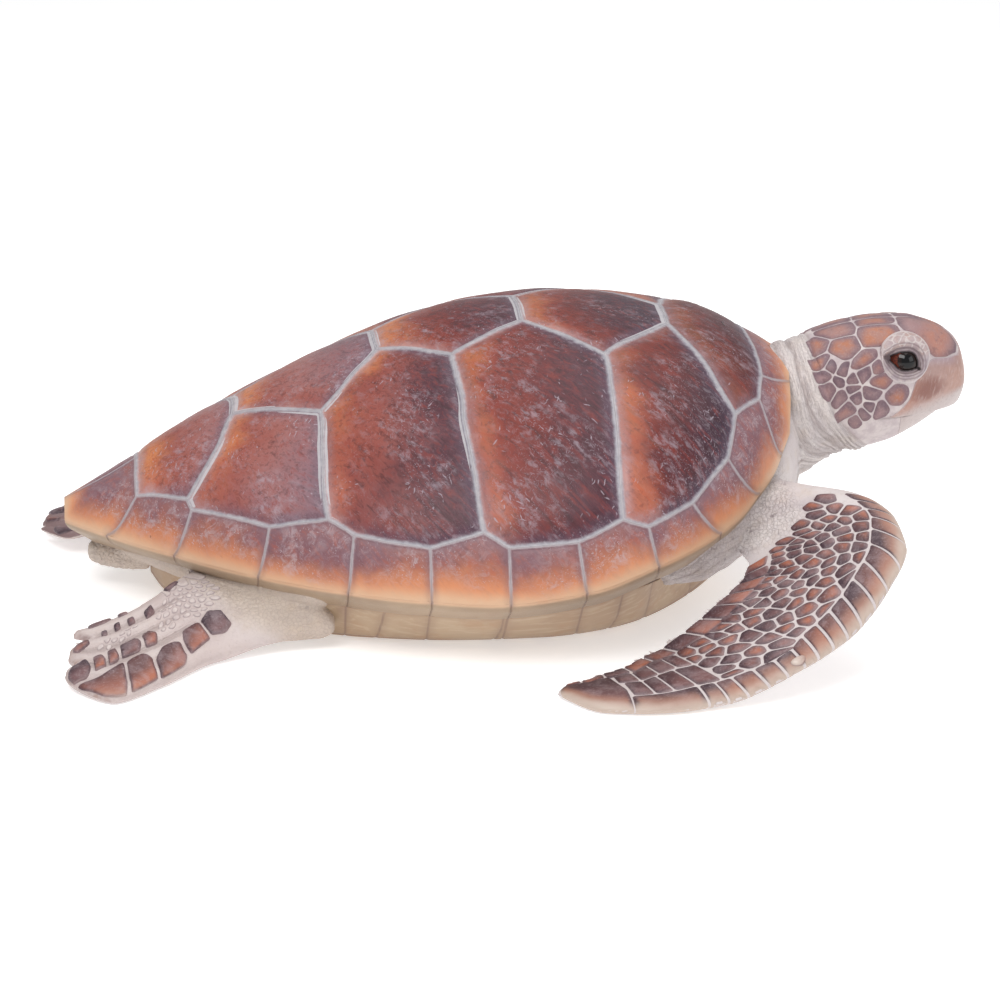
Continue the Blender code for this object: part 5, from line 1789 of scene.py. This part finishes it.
# Small ones: (mm along X, degrees down), half sizes in mm, lean in degrees, tone.
SMALL_HEAD_SCALES = (
    (337, 54, 2.2, 4.2, 0, 0.2), (345, 62, 3.6, 5.6, 10, 0.1), (351, 72, 3.4, 4.4, 10, 0.15),
    (361, 70, 3.6, 5.2, -10, 0.2), (329.5, 46, 4.5, 5.6, 0, 0.95), (329.5, 59, 4.8, 4.6, 0, 0.3),
    (339, 69, 5.4, 3.8, 35, 0.05), (330, 72, 5.2, 5.6, 0, 0.35), (349, 79.5, 7.2, 2.8, 5, 0.1),
    (350, 86, 5.6, 2.6, -8, 0.2), (337, 82, 6.0, 5.2, 30, 0.25), (363, 87, 8.0, 5.0, 0, 0.3),
    (341, 93, 8.0, 6.6, -8, 0.5), (361, 95.5, 7.0, 2.4, -14, 0.1), (370, 101, 4.8, 3.6, -10, 0.2),
    (354, 101, 3.4, 3.0, 0, 0.3), (344, 105, 4.0, 3.4, -30, 0.4),
)


def small_head_cells():
    """Outlines of the small scales: each fills its ground, within its size, between its neighbours."""
    seeds = np.array([row[:2] for row in SMALL_HEAD_SCALES]) / 1000
    quarter = [(-1, -0.5), (-0.5, -1), (0.5, -1), (1, -0.5)]
    eight_sided = np.array(quarter + [(-x, -y) for x, y in quarter])
    made = []
    for row, seed in zip(SMALL_HEAD_SCALES, seeds):
        lean = row[4] * DEGREE
        turned = np.array([(math.cos(lean), math.sin(lean)), (-math.sin(lean), math.cos(lean))])
        outline = eight_sided * np.array(row[2:4]) * (SMALL_SCALE_SPREAD / 1000) @ turned + seed
        outline = nearest_ground(seed, seeds, HEAD_GAP, outline=outline, count=9)
        for corners, _ in HEAD_SCALES:
            outline = kept_off(outline, seed, np.array(corners) / 1000)
        if wide_enough(outline, LEAST_HEAD_SCALE):
            made.append((outline, row[5]))
    return made


def kept_off(outline, seed, corners):
    """The outline clipped by the side of another scale that parts it best from the seed."""
    normals = -outer_normals(corners)
    best = ((corners - seed) * normals).sum(axis=1).argmax()
    return clipped(outline, corners[best], normals[best], -HEAD_GAP / 2)


def build_head_scales(on_skin, surface):
    scales = []
    for corners, tone in HEAD_SCALES:
        move_in = inset if len(corners) < 9 else inset_hollow
        right = move_in(np.array(corners) / 1000, HEAD_GAP)
        scales += [(right * (1, sign), tone, HEAD_SCALE_HEIGHT) for sign in (-1, 1)]
    for outline, tone in small_head_cells():
        scales += [(outline * (1, sign), tone, SMALL_SCALE_HEIGHT) for sign in (-1, 1)]
    build_scales("head_scales", scales, head_chart, on_skin, surface)


# ---------------------------------------------------------------- paint of the scales


def limb_scale_paint():
    """Plum scales, redder in the middle, pale where worn, and beige where a scale wraps under the edge."""
    p = Paint("limb_scale_paint", roughness=0.42, specular=0.4)
    depth, tone, place, ahead, out = p.numbers("depth", "tone", "place", "ahead", "out")
    broad = p.noise(20.0, 3.0, 0.6)
    medium = p.noise(120.0, 4.0, 0.65)
    fine = p.noise(420.0, 3.0, 0.7)
    inner = p.span(medium * 3.0 + depth, 1.4, 7.0)
    lean = ahead * -0.35 + out * 0.85
    lean += (broad - 0.5) * 1.4
    dark = p.mix(p.span(tone, 0.1, 0.8), paint(58, 40, 50), paint(84, 56, 60))
    warm = p.mix(p.span(tone, 0.15, 0.8), paint(108, 76, 78), paint(166, 100, 76))
    p.colour = p.mix(inner * p.span(lean, -0.6, 0.5, 0.1, 1.0), dark, warm)
    faded = (1.0 - inner) * p.span(lean, 0.15, 1.2, 0.0, 0.7)
    p.lay(faded, 160, 132, 130)
    haze = p.span(p.noise(60.0, 5.0, 0.7, 0.4), 0.42, 0.66)
    p.lay(haze * 0.3, 172, 154, 158)
    edge = p.span(depth, 0.0, 0.7, 1.0, 0.0)
    p.lay(edge * 0.5, 160, 140, 144)
    worn = p.span(fine, 0.52, 0.7) * 0.22
    p.lay(worn, 186, 172, 174)
    glow = p.span(broad * 14.0 + place, -20.0, -4.0) * inner
    p.lay(glow * 0.65, 172, 126, 106)
    outer = p.span(broad * 14.0 + place, -8.0, 6.0)
    p.lay(outer, 190, 172, 160)
    pale = p.mix(p.span(medium, 0.35, 0.65), paint(204, 192, 188), paint(186, 172, 170))
    pale = p.mix(p.span(depth, 0.2, 1.8, 0.65, 0.0), pale, paint(146, 130, 132))
    p.lay(p.span(tone, -0.6, -0.1, 1.0, 0.0), pale)
    height = fine * 0.5 + medium
    return p.finish(height, 0.0005, 0.45)


def head_scale_paint():
    """Orange brown in the middle of each scale, grey plum at its sides, and a pale wash."""
    p = Paint("head_scale_paint", roughness=0.42, specular=0.4)
    depth, tone = p.numbers("depth", "tone")
    broad = p.noise(48.0, 3.0, 0.6)
    medium = p.noise(150.0, 4.0, 0.65)
    fine = p.noise(480.0, 3.0, 0.7)
    rim = p.mix(p.span(tone, 0.0, 0.6), paint(100, 79, 89), paint(116, 91, 99))
    heart = p.mix(p.span(tone, 0.25, 0.8), paint(150, 120, 122), paint(168, 108, 82))
    heart = p.mix(p.span(tone, 0.0, 0.25, 0.75, 0.0), heart, paint(124, 98, 102))
    down = p.number("out") * p.calc("SIGN", p.number("place"))
    reach = (broad - 0.5) * 9.0 + depth
    reach = down * 1.9 + (p.number("ahead") * -1.3 + reach)
    p.colour = p.mix(p.span(reach, 0.6, 9.5), rim, heart)
    brow = p.along(0) - 0.433
    brow = abs(brow) + abs((p.along(2) - 0.24) * 0.9)
    brow = p.span((broad - 0.5) * 0.016 + brow, 0.0, 0.032, 0.75, 0.0)
    p.lay(brow, 174, 116, 94)
    mottle = p.span(p.noise(85.0, 4.0, 0.65), 0.44, 0.62)
    p.lay(mottle * 0.45, 146, 118, 118)
    p.lay(p.span(medium, 0.54, 0.7) * 0.42, 96, 72, 76)
    worn = p.span(fine, 0.48, 0.72) * 0.2
    p.lay(worn, 186, 170, 168)
    edge = p.span(depth, 0.0, 0.7, 1.0, 0.0)
    p.lay(edge * 0.5, 176, 160, 162)
    height = fine * 0.5 + medium
    return p.finish(height, 0.0004, 0.45)


# ---------------------------------------------------------------- eyes and lids

EYE_PLACE = (0.3970, 0.0362, 0.2190)
EYE_SIZE = 0.0160
EYE_AXIS = (-0.10, 0.90, 0.38)
GAZE = (0.06, 0.95, 0.26)
IRIS_REACH = 0.0094
EYE_RINGS, EYE_SIDES = 72, 96
LID_RINGS, LID_SIDES = 64, 300
LID_THICK, LID_EDGE = 0.0012, 0.0016
# Rays that find the head under the lids start this far out, and reach this far
LID_CAST_LIFT, LID_CAST_REACH = 0.045, 0.07
SOCKET_DEPTH = 0.0140
# The eye opening and the outer rim of the lids: (degrees round from the front over the top, mm from the axis)
EYE_OPENING = (
    (0, 11.4), (28, 10.2), (55, 8.4), (94, 7.0), (140, 9.6), (160, 13.2), (171, 15.6), (183, 13.8),
    (212, 11.4), (270, 11.0), (308, 12.6), (326, 14.2), (342, 13.0), (360, 11.6),
)
LID_RIM = (
    (0, 26.5), (45, 29.0), (90, 30.5), (135, 28.5), (180, 25.0), (225, 25.5), (270, 25.0), (315, 25.5),
    (360, 26.5),
)


def by_angle(table, turn):
    """Lengths in metres at angles in radians, from rows of (degrees, mm)."""
    return smooth([(degrees * DEGREE, mm / 1000) for degrees, mm in table], turn)


def eye_frame(side):
    """Centre, outward axis, and forward and upward directions of an eye."""
    mirror = np.array([1.0, side, 1.0])
    axis = unit(np.array(EYE_AXIS) * mirror)
    forward = unit(np.array([1.0, 0, 0]) - axis * axis[0])
    upward = np.cross(axis, forward)
    return np.array(EYE_PLACE) * mirror, axis, forward, upward if upward[2] > 0 else -upward


def eye_paint():
    """Black pupil, dark brown iris, and red-brown beyond it."""
    p = Paint("eye_paint", roughness=0.06, specular=0.35)
    away = p.number("away")
    fibres = p.noise(700.0, 3.0, 0.6)
    p.colour = p.mix(p.span(away, 5.6, 7.4), paint(6, 6, 8), paint(22, 15, 14))
    p.lay(fibres * p.span(away, 6.0, 9.0, 0.0, 0.5), 58, 34, 26)
    p.lay(p.span(away, 9.0, 9.8), 26, 18, 18)
    beyond = p.mix(p.span(fibres, 0.4, 0.65), paint(106, 50, 36), paint(66, 32, 28))
    beyond = p.mix(p.span(p.along(0), 0.400, 0.406), beyond, paint(24, 16, 18))
    p.lay(p.span(away, 9.8, 11.6), beyond)
    return p.finish(p.noise(60.0, 2.0), 0.0001, 0.1)


def build_eye(side, name, surface):
    centre = eye_frame(side)[0]
    gaze = unit(np.array(GAZE) * np.array([1.0, side, 1.0]))
    across = unit(np.cross(gaze, (0, 0, 1.0)))
    over = np.cross(across, gaze)
    polar = np.linspace(0.012, math.pi - 0.012, EYE_RINGS)[:, None]
    turn = turns(EYE_SIDES)[None]
    away = polar * EYE_SIZE
    radius = EYE_SIZE + 0.0005 * (1 - ease(away, 0.0, IRIS_REACH + 0.001))
    sideways, upward = np.sin(polar) * np.cos(turn), np.sin(polar) * np.sin(turn)
    ball = sideways[..., None] * across + upward[..., None] * over + np.cos(polar)[..., None] * gaze
    points, faces = tube(centre + ball * radius[..., None])
    numbers = {"away": np.append(np.repeat(away[:, 0], EYE_SIDES), [0.0, math.pi * EYE_SIZE]) * 1000}
    dress(mesh_object(f"eyeball_{name}", points, faces, numbers), surface, f"eye_{name}")


def lid_paint():
    """Pale lids, dark at the opening, with painted shade in the creases and warm small scales above the eye.
    """
    p = Paint("lid_paint", roughness=0.45, specular=0.4)
    from_edge, to_rim, upper, relief = p.numbers("from_edge", "to_rim", "upper", "relief")
    medium = p.noise(130.0, 4.0, 0.65)
    p.colour = p.mix(p.span(medium, 0.35, 0.65), paint(190, 177, 176), paint(160, 146, 152))
    crown = p.span(upper, 0.05, 0.6) * p.span(from_edge, 4.0, 6.5)
    p.lay(crown * 0.5, 170, 152, 154)
    warm = crown * p.span(p.noise(55.0, 3.0, 0.6), 0.38, 0.62, 0.1, 0.65)
    p.lay(warm, 176, 136, 118)
    cells = p.cells(125.0, vector=p.swayed(0.01, 0.002))
    lines = p.span(cells, 0.02, 0.13, 1.0, 0.0) * crown
    p.lay(lines * 0.8, 204, 194, 192)
    # painted shade: the lids are painted darker where their relief sinks into creases
    p.lay(p.span(relief, -0.5, 0.0, 1.0, 0.0) * 0.7, 112, 94, 98)
    p.lay(p.span(from_edge, 0.8, 3.4, 0.85, 0.0), 92, 76, 82)
    corner = p.span(p.number("corner"), 0.15, 0.6, 0.0, 0.9)
    dark = p.calc("MAXIMUM", p.span(from_edge, 0.2, 1.6, 1.0, 0.0), corner)
    p.lay(dark, 30, 22, 24)
    ring = p.span(to_rim, 0.6, 1.4) * p.span(to_rim, 2.2, 3.4, 1.0, 0.0)
    p.lay(ring * 0.75, 206, 196, 196)
    p.lay(p.span(to_rim, 0.2, 1.0, 0.7, 0.0), 136, 118, 124)
    p.lay(p.span(p.noise(330.0, 3.0, 0.7), 0.5, 0.68) * 0.28, 134, 116, 118)
    height = p.span(p.cells(420.0), 0.0, 0.12) * 0.5 + medium
    height -= lines * 0.9
    return p.finish(height, 0.0005, 0.5)


# Creases (below 0) and folds of the upper and the lower lid: (height, metres from the opening, width)
UPPER_LID_FOLDS = ((-0.0009, 0.0040, 0.0010), (0.0012, 0.0066, 0.0028), (0.0032, 0.0135, 0.0065))
LOWER_LID_FOLDS = ((-0.0006, 0.0030, 0.0008), (-0.0005, 0.0056, 0.0010), (0.0008, 0.0012, 0.0012))
OUTER_CREASE = (-0.0004, 0.0086, 0.0011)
LID_CORNERS = (171, 326)


def lid_relief(turn, from_edge, to_rim, upper):
    """The folds of the lids, their creases, and how near each point is to a corner of the eye."""
    def folds(rows, sign):
        return sum(height * bump_at(from_edge, at, width) for height, at, width in rows if height * sign > 0)

    raised, sunk = (
        upper * folds(UPPER_LID_FOLDS, sign) + (1 - upper) * folds(LOWER_LID_FOLDS, sign) for sign in (1, -1)
    )
    sunk = sunk + folds([OUTER_CREASE], -1)
    corner = sum(bump_at(turn, place * DEGREE, 5 * DEGREE) for place in LID_CORNERS)[None]
    corner = corner * (1 - ease(from_edge, 0.0020, 0.0065))
    return raised, sunk * ease(to_rim, 0.001, 0.004) - 0.0010 * corner, corner


def build_lids(side, name, skin, surface):
    """The lids: a dome of skin round the eye, open in front of it, its outer rim sunk into the head."""
    centre, axis, forward, upward = eye_frame(side)
    tree = BVHTree.FromObject(skin, bpy.context.evaluated_depsgraph_get())
    turn = turns(LID_SIDES)
    opening, rim = by_angle(EYE_OPENING, turn), by_angle(LID_RIM, turn)
    reach = opening + (rim - opening) * np.linspace(0, 1, LID_RINGS)[:, None] ** 1.25
    flat = reach[..., None] * (np.cos(turn)[:, None] * forward + np.sin(turn)[:, None] * upward)
    start = centre + flat + axis * LID_CAST_LIFT
    height = np.empty(reach.shape)
    for index in np.ndindex(*reach.shape):
        hit = tree.ray_cast(Vector(start[index]), Vector(-axis), LID_CAST_REACH)[0]
        height[index] = (np.array(hit) - centre) @ axis if hit is not None else 0.004
    ball = np.sqrt(np.maximum((EYE_SIZE + LID_THICK) ** 2 - reach**2, 0.0062**2))
    from_edge, to_rim = reach - opening, rim - reach
    upper = ease(np.sin(turn)[None] + np.zeros(reach.shape), -0.1, 0.5)
    lift = 0.0020 * ease(to_rim, 0.0, 0.0035) - 0.0014 * (1 - ease(to_rim, 0.0, 0.0020))
    blend = ease(from_edge, 0.0, 0.0085)
    folds, relief, corner = lid_relief(turn, from_edge, to_rim, upper)
    raised = ball * (1 - blend) + (height + lift) * blend + relief + folds
    points = centre + flat + raised[..., None] * axis
    edge = points[0] - axis * LID_EDGE - flat[0] * (0.0007 / reach[0])[:, None]
    points = np.vstack([edge, points.reshape(-1, 3), centre - axis * 0.002])
    loop, hub = np.arange(LID_SIDES), len(points) - 1
    fans = [fan_faces(loop + LID_RINGS * LID_SIDES, hub), fan_faces(loop[::-1], hub)]
    faces = [grid_faces(LID_RINGS + 1, LID_SIDES, wrap=True), np.vstack(fans)]
    numbers = {
        "from_edge": from_edge * 1000, "to_rim": to_rim * 1000, "upper": upper, "relief": relief * 1000,
        "corner": corner,
    }
    for key, values in numbers.items():
        numbers[key] = np.append(np.vstack([values[:1], values]).ravel(), 0.0)
    if side < 0:
        faces = [face[:, ::-1] for face in faces]
    dress(mesh_object(f"lids_{name}", points, faces, numbers), surface, None)


def sink_socket(skin):
    """Lowers the skin under the lids, so that it clears the eyeball."""
    points = points_of(skin.data)
    for side in (-1, 1):
        centre, axis, forward, upward = eye_frame(side)
        away = points - centre
        height = away @ axis
        flat = away - height[:, None] * axis
        turn = np.arctan2(flat @ upward, flat @ forward) % (2 * math.pi)
        rim = by_angle(LID_RIM, turn)
        within = 1 - ease(np.linalg.norm(flat, axis=1), rim - 0.0075, rim - 0.0030)
        near = (np.linalg.norm(away, axis=1) < 0.045) & (height > -0.002)
        points = points - axis * (SOCKET_DEPTH * within * near)[:, None]
    set_points(skin.data, points)


# ---------------------------------------------------------------- beak and claws

# The rear edge of the upper beak: (degrees down from the crown, mm along X).
BEAK_REAR = (
    (0, 441.5), (12, 451.5), (27, 457.5), (47, 455), (57, 448), (62.5, 440), (65, 426), (71, 419), (80, 413),
    (86, 406.5), (92, 403.4), (98, 400.6), (104, 394), (110, 380),
)
BEAK_CORNER_TURN = 110
LOWER_BEAK_REAR, LOWER_BEAK_FRONT = 0.392, 0.4560
BEAK_RINGS, BEAK_SIDES, LOWER_BEAK_SIDES = 90, 261, 60
UPPER_HORN, LOWER_HORN, HORN_BEVEL, HORN_SKIRT = 0.0008, 0.0006, 0.0018, 0.0008
# Along X, the upper beak's lower edge passes from its rear corner to the mouth's line between these places
LIP_START, LIP_END = 0.380, 0.386
LOWER_BEAK_HEIGHT = 34
SNOUT_CAP = 0.0010


def mouth_turn(x, jaw=False):
    """How far round from the crown the head's surface meets the mouth, in radians."""
    turn = np.linspace(math.pi / 2, math.pi, 240)
    surface = jaw_surface if jaw else head_surface
    low = surface(np.asarray(x)[..., None], turn)[..., 2] <= MOUTH_Z
    first = np.where(low.any(axis=-1), low.argmax(axis=-1), len(turn) - 1)
    return turn[first]


def beak_paint():
    """Horn beige, peach at the front, with a soft brown smudge on each side."""
    p = Paint("beak_paint", roughness=0.38, specular=0.45)
    x, turn, depth = p.numbers("x", "turn", "depth")
    broad = p.noise(40.0, 3.0, 0.6)
    medium = p.noise(150.0, 4.0, 0.65)
    p.colour = p.mix(p.span(broad, 0.35, 0.65), paint(172, 142, 134), paint(156, 126, 120))
    rust = p.span(x, 430.0, 400.0) * p.span(turn, 76.0, 92.0)
    p.lay(rust * 0.55, 172, 118, 96)
    front = p.span(x, 430.0, 458.0) * p.span(turn, 124.0, 98.0)
    p.lay(front * 0.55, 168, 122, 104)
    lilac = p.span(broad * 12.0 + turn, 84.0, 68.0) * p.span(x, 462.0, 440.0)
    p.lay(lilac * 0.6, 150, 138, 152)
    away_x = (x - 419.0) / 15.0
    away_turn = (turn - 94.0) / 9.0
    away = abs(away_x) ** 2 + abs(away_turn) ** 2
    away += (broad - 0.5) * 2.4
    away += (medium - 0.5) * 1.2
    p.lay(p.span(away, -0.2, 2.6, 0.85, 0.0), 124, 78, 68)
    low = p.span(broad * 12.0 + (medium * 8.0 + turn), 110.0, 128.0)
    p.lay(low * 0.9, 186, 174, 172)
    p.lay(p.span(depth, 0.1, 1.8, 0.6, 0.0), 180, 168, 172)
    streaks = p.span(p.noise(1.0, 4.0, 0.65, 0.5, p.strands((0.25, 0.1, 1.0), 0.012, 0.0022)), 0.50, 0.70)
    p.lay(streaks * 0.3, 196, 180, 176)
    p.lay(p.span(p.noise(380.0, 3.0, 0.7), 0.5, 0.68) * 0.25, 128, 104, 104)
    return p.finish(medium + streaks * 0.5, 0.0003, 0.3)


def sheath(name, x, turn, surface, depth, height, on_skin, horn, node):
    """A closed sheath of horn over a grid of head places, thin at its edges."""
    base = surface(x, turn)
    around = surface(x, turn + STEP_TURN) - surface(x, turn - STEP_TURN)
    ahead = np.minimum(x, HEAD[-1][0])
    along = surface(ahead, turn) - surface(ahead - 0.001, turn)
    middle = base * (0, 0, 0) + (0.42, 0, 0.20)
    outward = away_from(middle, base, unit(np.cross(along, around))).reshape(-1, 3)
    bevel = np.sqrt(1 - (1 - np.minimum(depth / HORN_BEVEL, 1)) ** 2)
    rise = height * bevel - HORN_SKIRT * (depth <= 0)
    rise = np.broadcast_to(rise, base.shape[:2]).reshape(-1, 1)
    points = on_skin(base.reshape(-1, 3), outward) + outward * rise
    rows, columns = base.shape[:2]
    edge = np.concatenate([
        np.arange(columns), np.arange(1, rows) * columns + columns - 1,
        (rows - 1) * columns + np.arange(columns - 1)[::-1], np.arange(1, rows - 1)[::-1] * columns,
    ])
    hub = points.mean(axis=0) * (1, 0, 1) + (-0.012, 0, 0)
    numbers = {"x": x * 1000, "turn": np.abs(turn) / DEGREE, "depth": depth * 1000}
    numbers = {key: np.append(values.ravel(), 0.0) for key, values in numbers.items()}
    faces = wound_outward(points, [grid_faces(rows, columns), fan_faces(edge[::-1], len(points))], outward)
    dress(mesh_object(name, np.vstack([points, hub]), faces, numbers), horn, node)


def snout_surface(x, turn):
    """The head, drawn to a point just ahead of its last ring, so that the horn closes over the tip."""
    tip = HEAD[-1][0]
    points = head_surface(np.minimum(x, tip), turn)
    middle = head_surface(tip, np.array([0.0, math.pi])).mean(axis=0)
    return points + (middle - points) * np.clip((x - tip) / SNOUT_CAP, 0, 1)[..., None]


def build_beak(on_skin):
    horn, tip, corner = beak_paint(), HEAD[-1][0], BEAK_CORNER_TURN * DEGREE
    v = np.linspace(-1, 1, BEAK_SIDES)[None]
    w = np.linspace(0, 1, BEAK_RINGS)[:, None]
    rear_turn = np.abs(v) * BEAK_CORNER_TURN
    for _ in range(12):
        rear = smooth([(a, mm / 1000) for a, mm in BEAK_REAR], rear_turn)
        to_mouth = mouth_turn(rear) / DEGREE - BEAK_CORNER_TURN
        reach = BEAK_CORNER_TURN + to_mouth * ease(rear, LIP_START, LIP_END)
        rear_turn = (rear_turn + np.abs(v) * reach) / 2
    x = rear + (tip - 0.0002 - rear) * np.sin(w * math.pi / 2) ** 1.15
    cap = tip + SNOUT_CAP * np.linspace(0.1, 0.95, 8)[:, None]
    x = np.vstack([x, cap + np.zeros(v.shape)])
    low = mouth_turn(np.minimum(x, tip))
    turn = v * np.minimum(low, corner + (low - corner) * ease(x, LIP_START, LIP_END))
    sheath("beak_upper", x, turn, snout_surface, x - rear, UPPER_HORN, on_skin, horn, None)
    x = LOWER_BEAK_REAR + (LOWER_BEAK_FRONT - LOWER_BEAK_REAR) * w
    start = mouth_turn(x, jaw=True)
    share = np.linspace(0, 1, LOWER_BEAK_SIDES)[None]
    height = np.minimum(start + LOWER_BEAK_HEIGHT * DEGREE, math.pi) - start
    turn = start + 0.004 + height * share
    depth = np.minimum(np.minimum(x - LOWER_BEAK_REAR, (1 - share) * 0.020), share * 0.030 + 0.0004)
    x = x + share * 0
    for side, name in SIDES:
        node = "lower_jaw" if side < 0 else None
        sheath(f"beak_lower_{name}", x, side * turn, jaw_surface, depth, LOWER_HORN, on_skin, horn, node)


CLAW_T, CLAW_IN = 0.614, -0.010
CLAW_RINGS, CLAW_SIDES = 60, 64
CLAW_HALF = (0.0078, 0.0046, 0.0040)


def claw_paint():
    p = Paint("claw_paint", roughness=0.3, specular=0.5)
    along, rise = p.numbers("along", "rise")
    p.colour = p.mix(p.span(along, -0.9, 0.5), paint(172, 146, 136), paint(200, 184, 174))
    p.lay(p.span(rise, 0.1, 0.6, 0.8, 0.0), 128, 102, 100)
    lines = p.noise(1.0, 3.0, 0.6, 0.0, p.strands((1.0, 0.0, 0.0), 0.016, 0.0017))
    p.lay(p.span(lines, 0.5, 0.68, 0.0, 0.35), 166, 140, 130)
    return p.finish(lines, 0.0003, 0.35)


def build_claw(name, chart, on_skin, surface):
    """The one claw at the leading edge of a front flipper: a low pointed oval nail."""
    base, outward = chart(np.array([(CLAW_T * FRONT_LENGTH + d, CLAW_IN) for d in (-0.006, 0.0, 0.006)]))
    base = on_skin(base, outward)
    along = unit(base[2] - base[0])
    up = unit(outward[1] - along * (outward[1] @ along))
    across = np.cross(along, up)
    s = np.linspace(-0.995, 0.995, CLAW_RINGS)[:, None]
    angle = turns(CLAW_SIDES)[None]
    half = np.sqrt(1 - s**2) ** (1 + 0.25 * (s > 0.3) * (s - 0.3))
    ridge = 1 + 0.10 * np.cos(angle * 2) * ease(np.sin(angle), 0, 1)
    sideways = half * np.cos(angle) * CLAW_HALF[1] + 0.0012 * s**2
    upward = half * np.sin(angle) * CLAW_HALF[2] * ridge + 0.0004
    points = base[1] + along * (s * CLAW_HALF[0])[..., None] + across * sideways[..., None]
    points = points + up * upward[..., None]
    numbers = {
        "along": np.append((s + angle * 0).ravel(), [-1, 1]),
        "rise": np.append((half * np.sin(angle)).ravel(), [0, 0]),
    }
    dress(mesh_object(f"nail_{name}", *tube(points), numbers), surface, f"claw_{name}")


# ---------------------------------------------------------------- stage

FLOOR_HALF = 30.0


def build_stage():
    corners = np.array([(-1, -1, 0), (1, -1, 0), (1, 1, 0), (-1, 1, 0)]) * FLOOR_HALF
    floor = mesh_object("floor", corners, [np.array([[0, 1, 2, 3]])])
    p = Paint("floor_paint", roughness=0.8, specular=0.1)
    p.put(p.shader, Emission_Color=(1, 1, 1, 1), Emission_Strength=0.42)
    p.colour = paint(238, 238, 238)
    floor.data.materials.append(p.finish())


def add_light(name, place, aim, size, power):
    data = bpy.data.lights.new(name, "AREA")
    data.shape = "RECTANGLE"
    data.size, data.size_y = size
    data.energy = power
    light = bpy.data.objects.new(name, data)
    light.location = place
    light.rotation_euler = (Vector(aim) - Vector(place)).to_track_quat("-Z", "Y").to_euler()
    bpy.context.scene.collection.objects.link(light)


def build_lights():
    world = bpy.data.worlds.new("studio")
    world.use_nodes = True
    light = world.node_tree.nodes["Background"].inputs
    light["Color"].default_value, light["Strength"].default_value = (1, 1, 1, 1), 0.48
    bpy.context.scene.world = world
    add_light("key", (-0.9, -1.6, 2.4), (0, 0, 0.1), (1.8, 1.2), 42)
    add_light("top", (0.4, 0.4, 2.6), (0, 0, 0.1), (2.6, 2.2), 32)
    add_light("fill", (2.2, -1.6, 1.2), (0.1, 0, 0.1), (1.6, 1.6), 14)
    bpy.context.scene.view_settings.view_transform = "Standard"


CAMERA_AZIMUTH, CAMERA_ELEVATION = -6.0, 20.0
CAMERA_DISTANCE = 3.5
CAMERA_TARGET = (0.0, 0.0, 0.0745)
CAMERA_LENS, SENSOR_WIDTH = 126.0, 36.0


def build_camera():
    a, e = math.radians(CAMERA_AZIMUTH), math.radians(CAMERA_ELEVATION)
    back = Vector((math.sin(a) * math.cos(e), -math.cos(a) * math.cos(e), math.sin(e)))
    data = bpy.data.cameras.new("camera")
    data.lens, data.sensor_width = CAMERA_LENS, SENSOR_WIDTH
    camera = bpy.data.objects.new("camera", data)
    camera.location = Vector(CAMERA_TARGET) + back * CAMERA_DISTANCE
    camera.rotation_euler = (-back).to_track_quat("-Z", "Y").to_euler()
    bpy.context.scene.collection.objects.link(camera)
    bpy.context.scene.camera = camera


build_stage()
build_lights()
build_camera()
build_carapace()
build_plastron()
skin = build_skin()
on_skin = skin_caster(skin)
limb_scales, head_scales = limb_scale_paint(), head_scale_paint()
eyes, lids, claws = eye_paint(), lid_paint(), claw_paint()
for side, name in SIDES:
    chart = build_front_scales(side, name, on_skin, limb_scales)
    build_claw(name, chart, on_skin, claws)
    build_hind_scales(side, name, on_skin, limb_scales)
    build_eye(side, name, eyes)
    build_lids(side, name, skin, lids)
build_head_scales(on_skin, head_scales)
build_beak(on_skin)
sink_socket(skin)
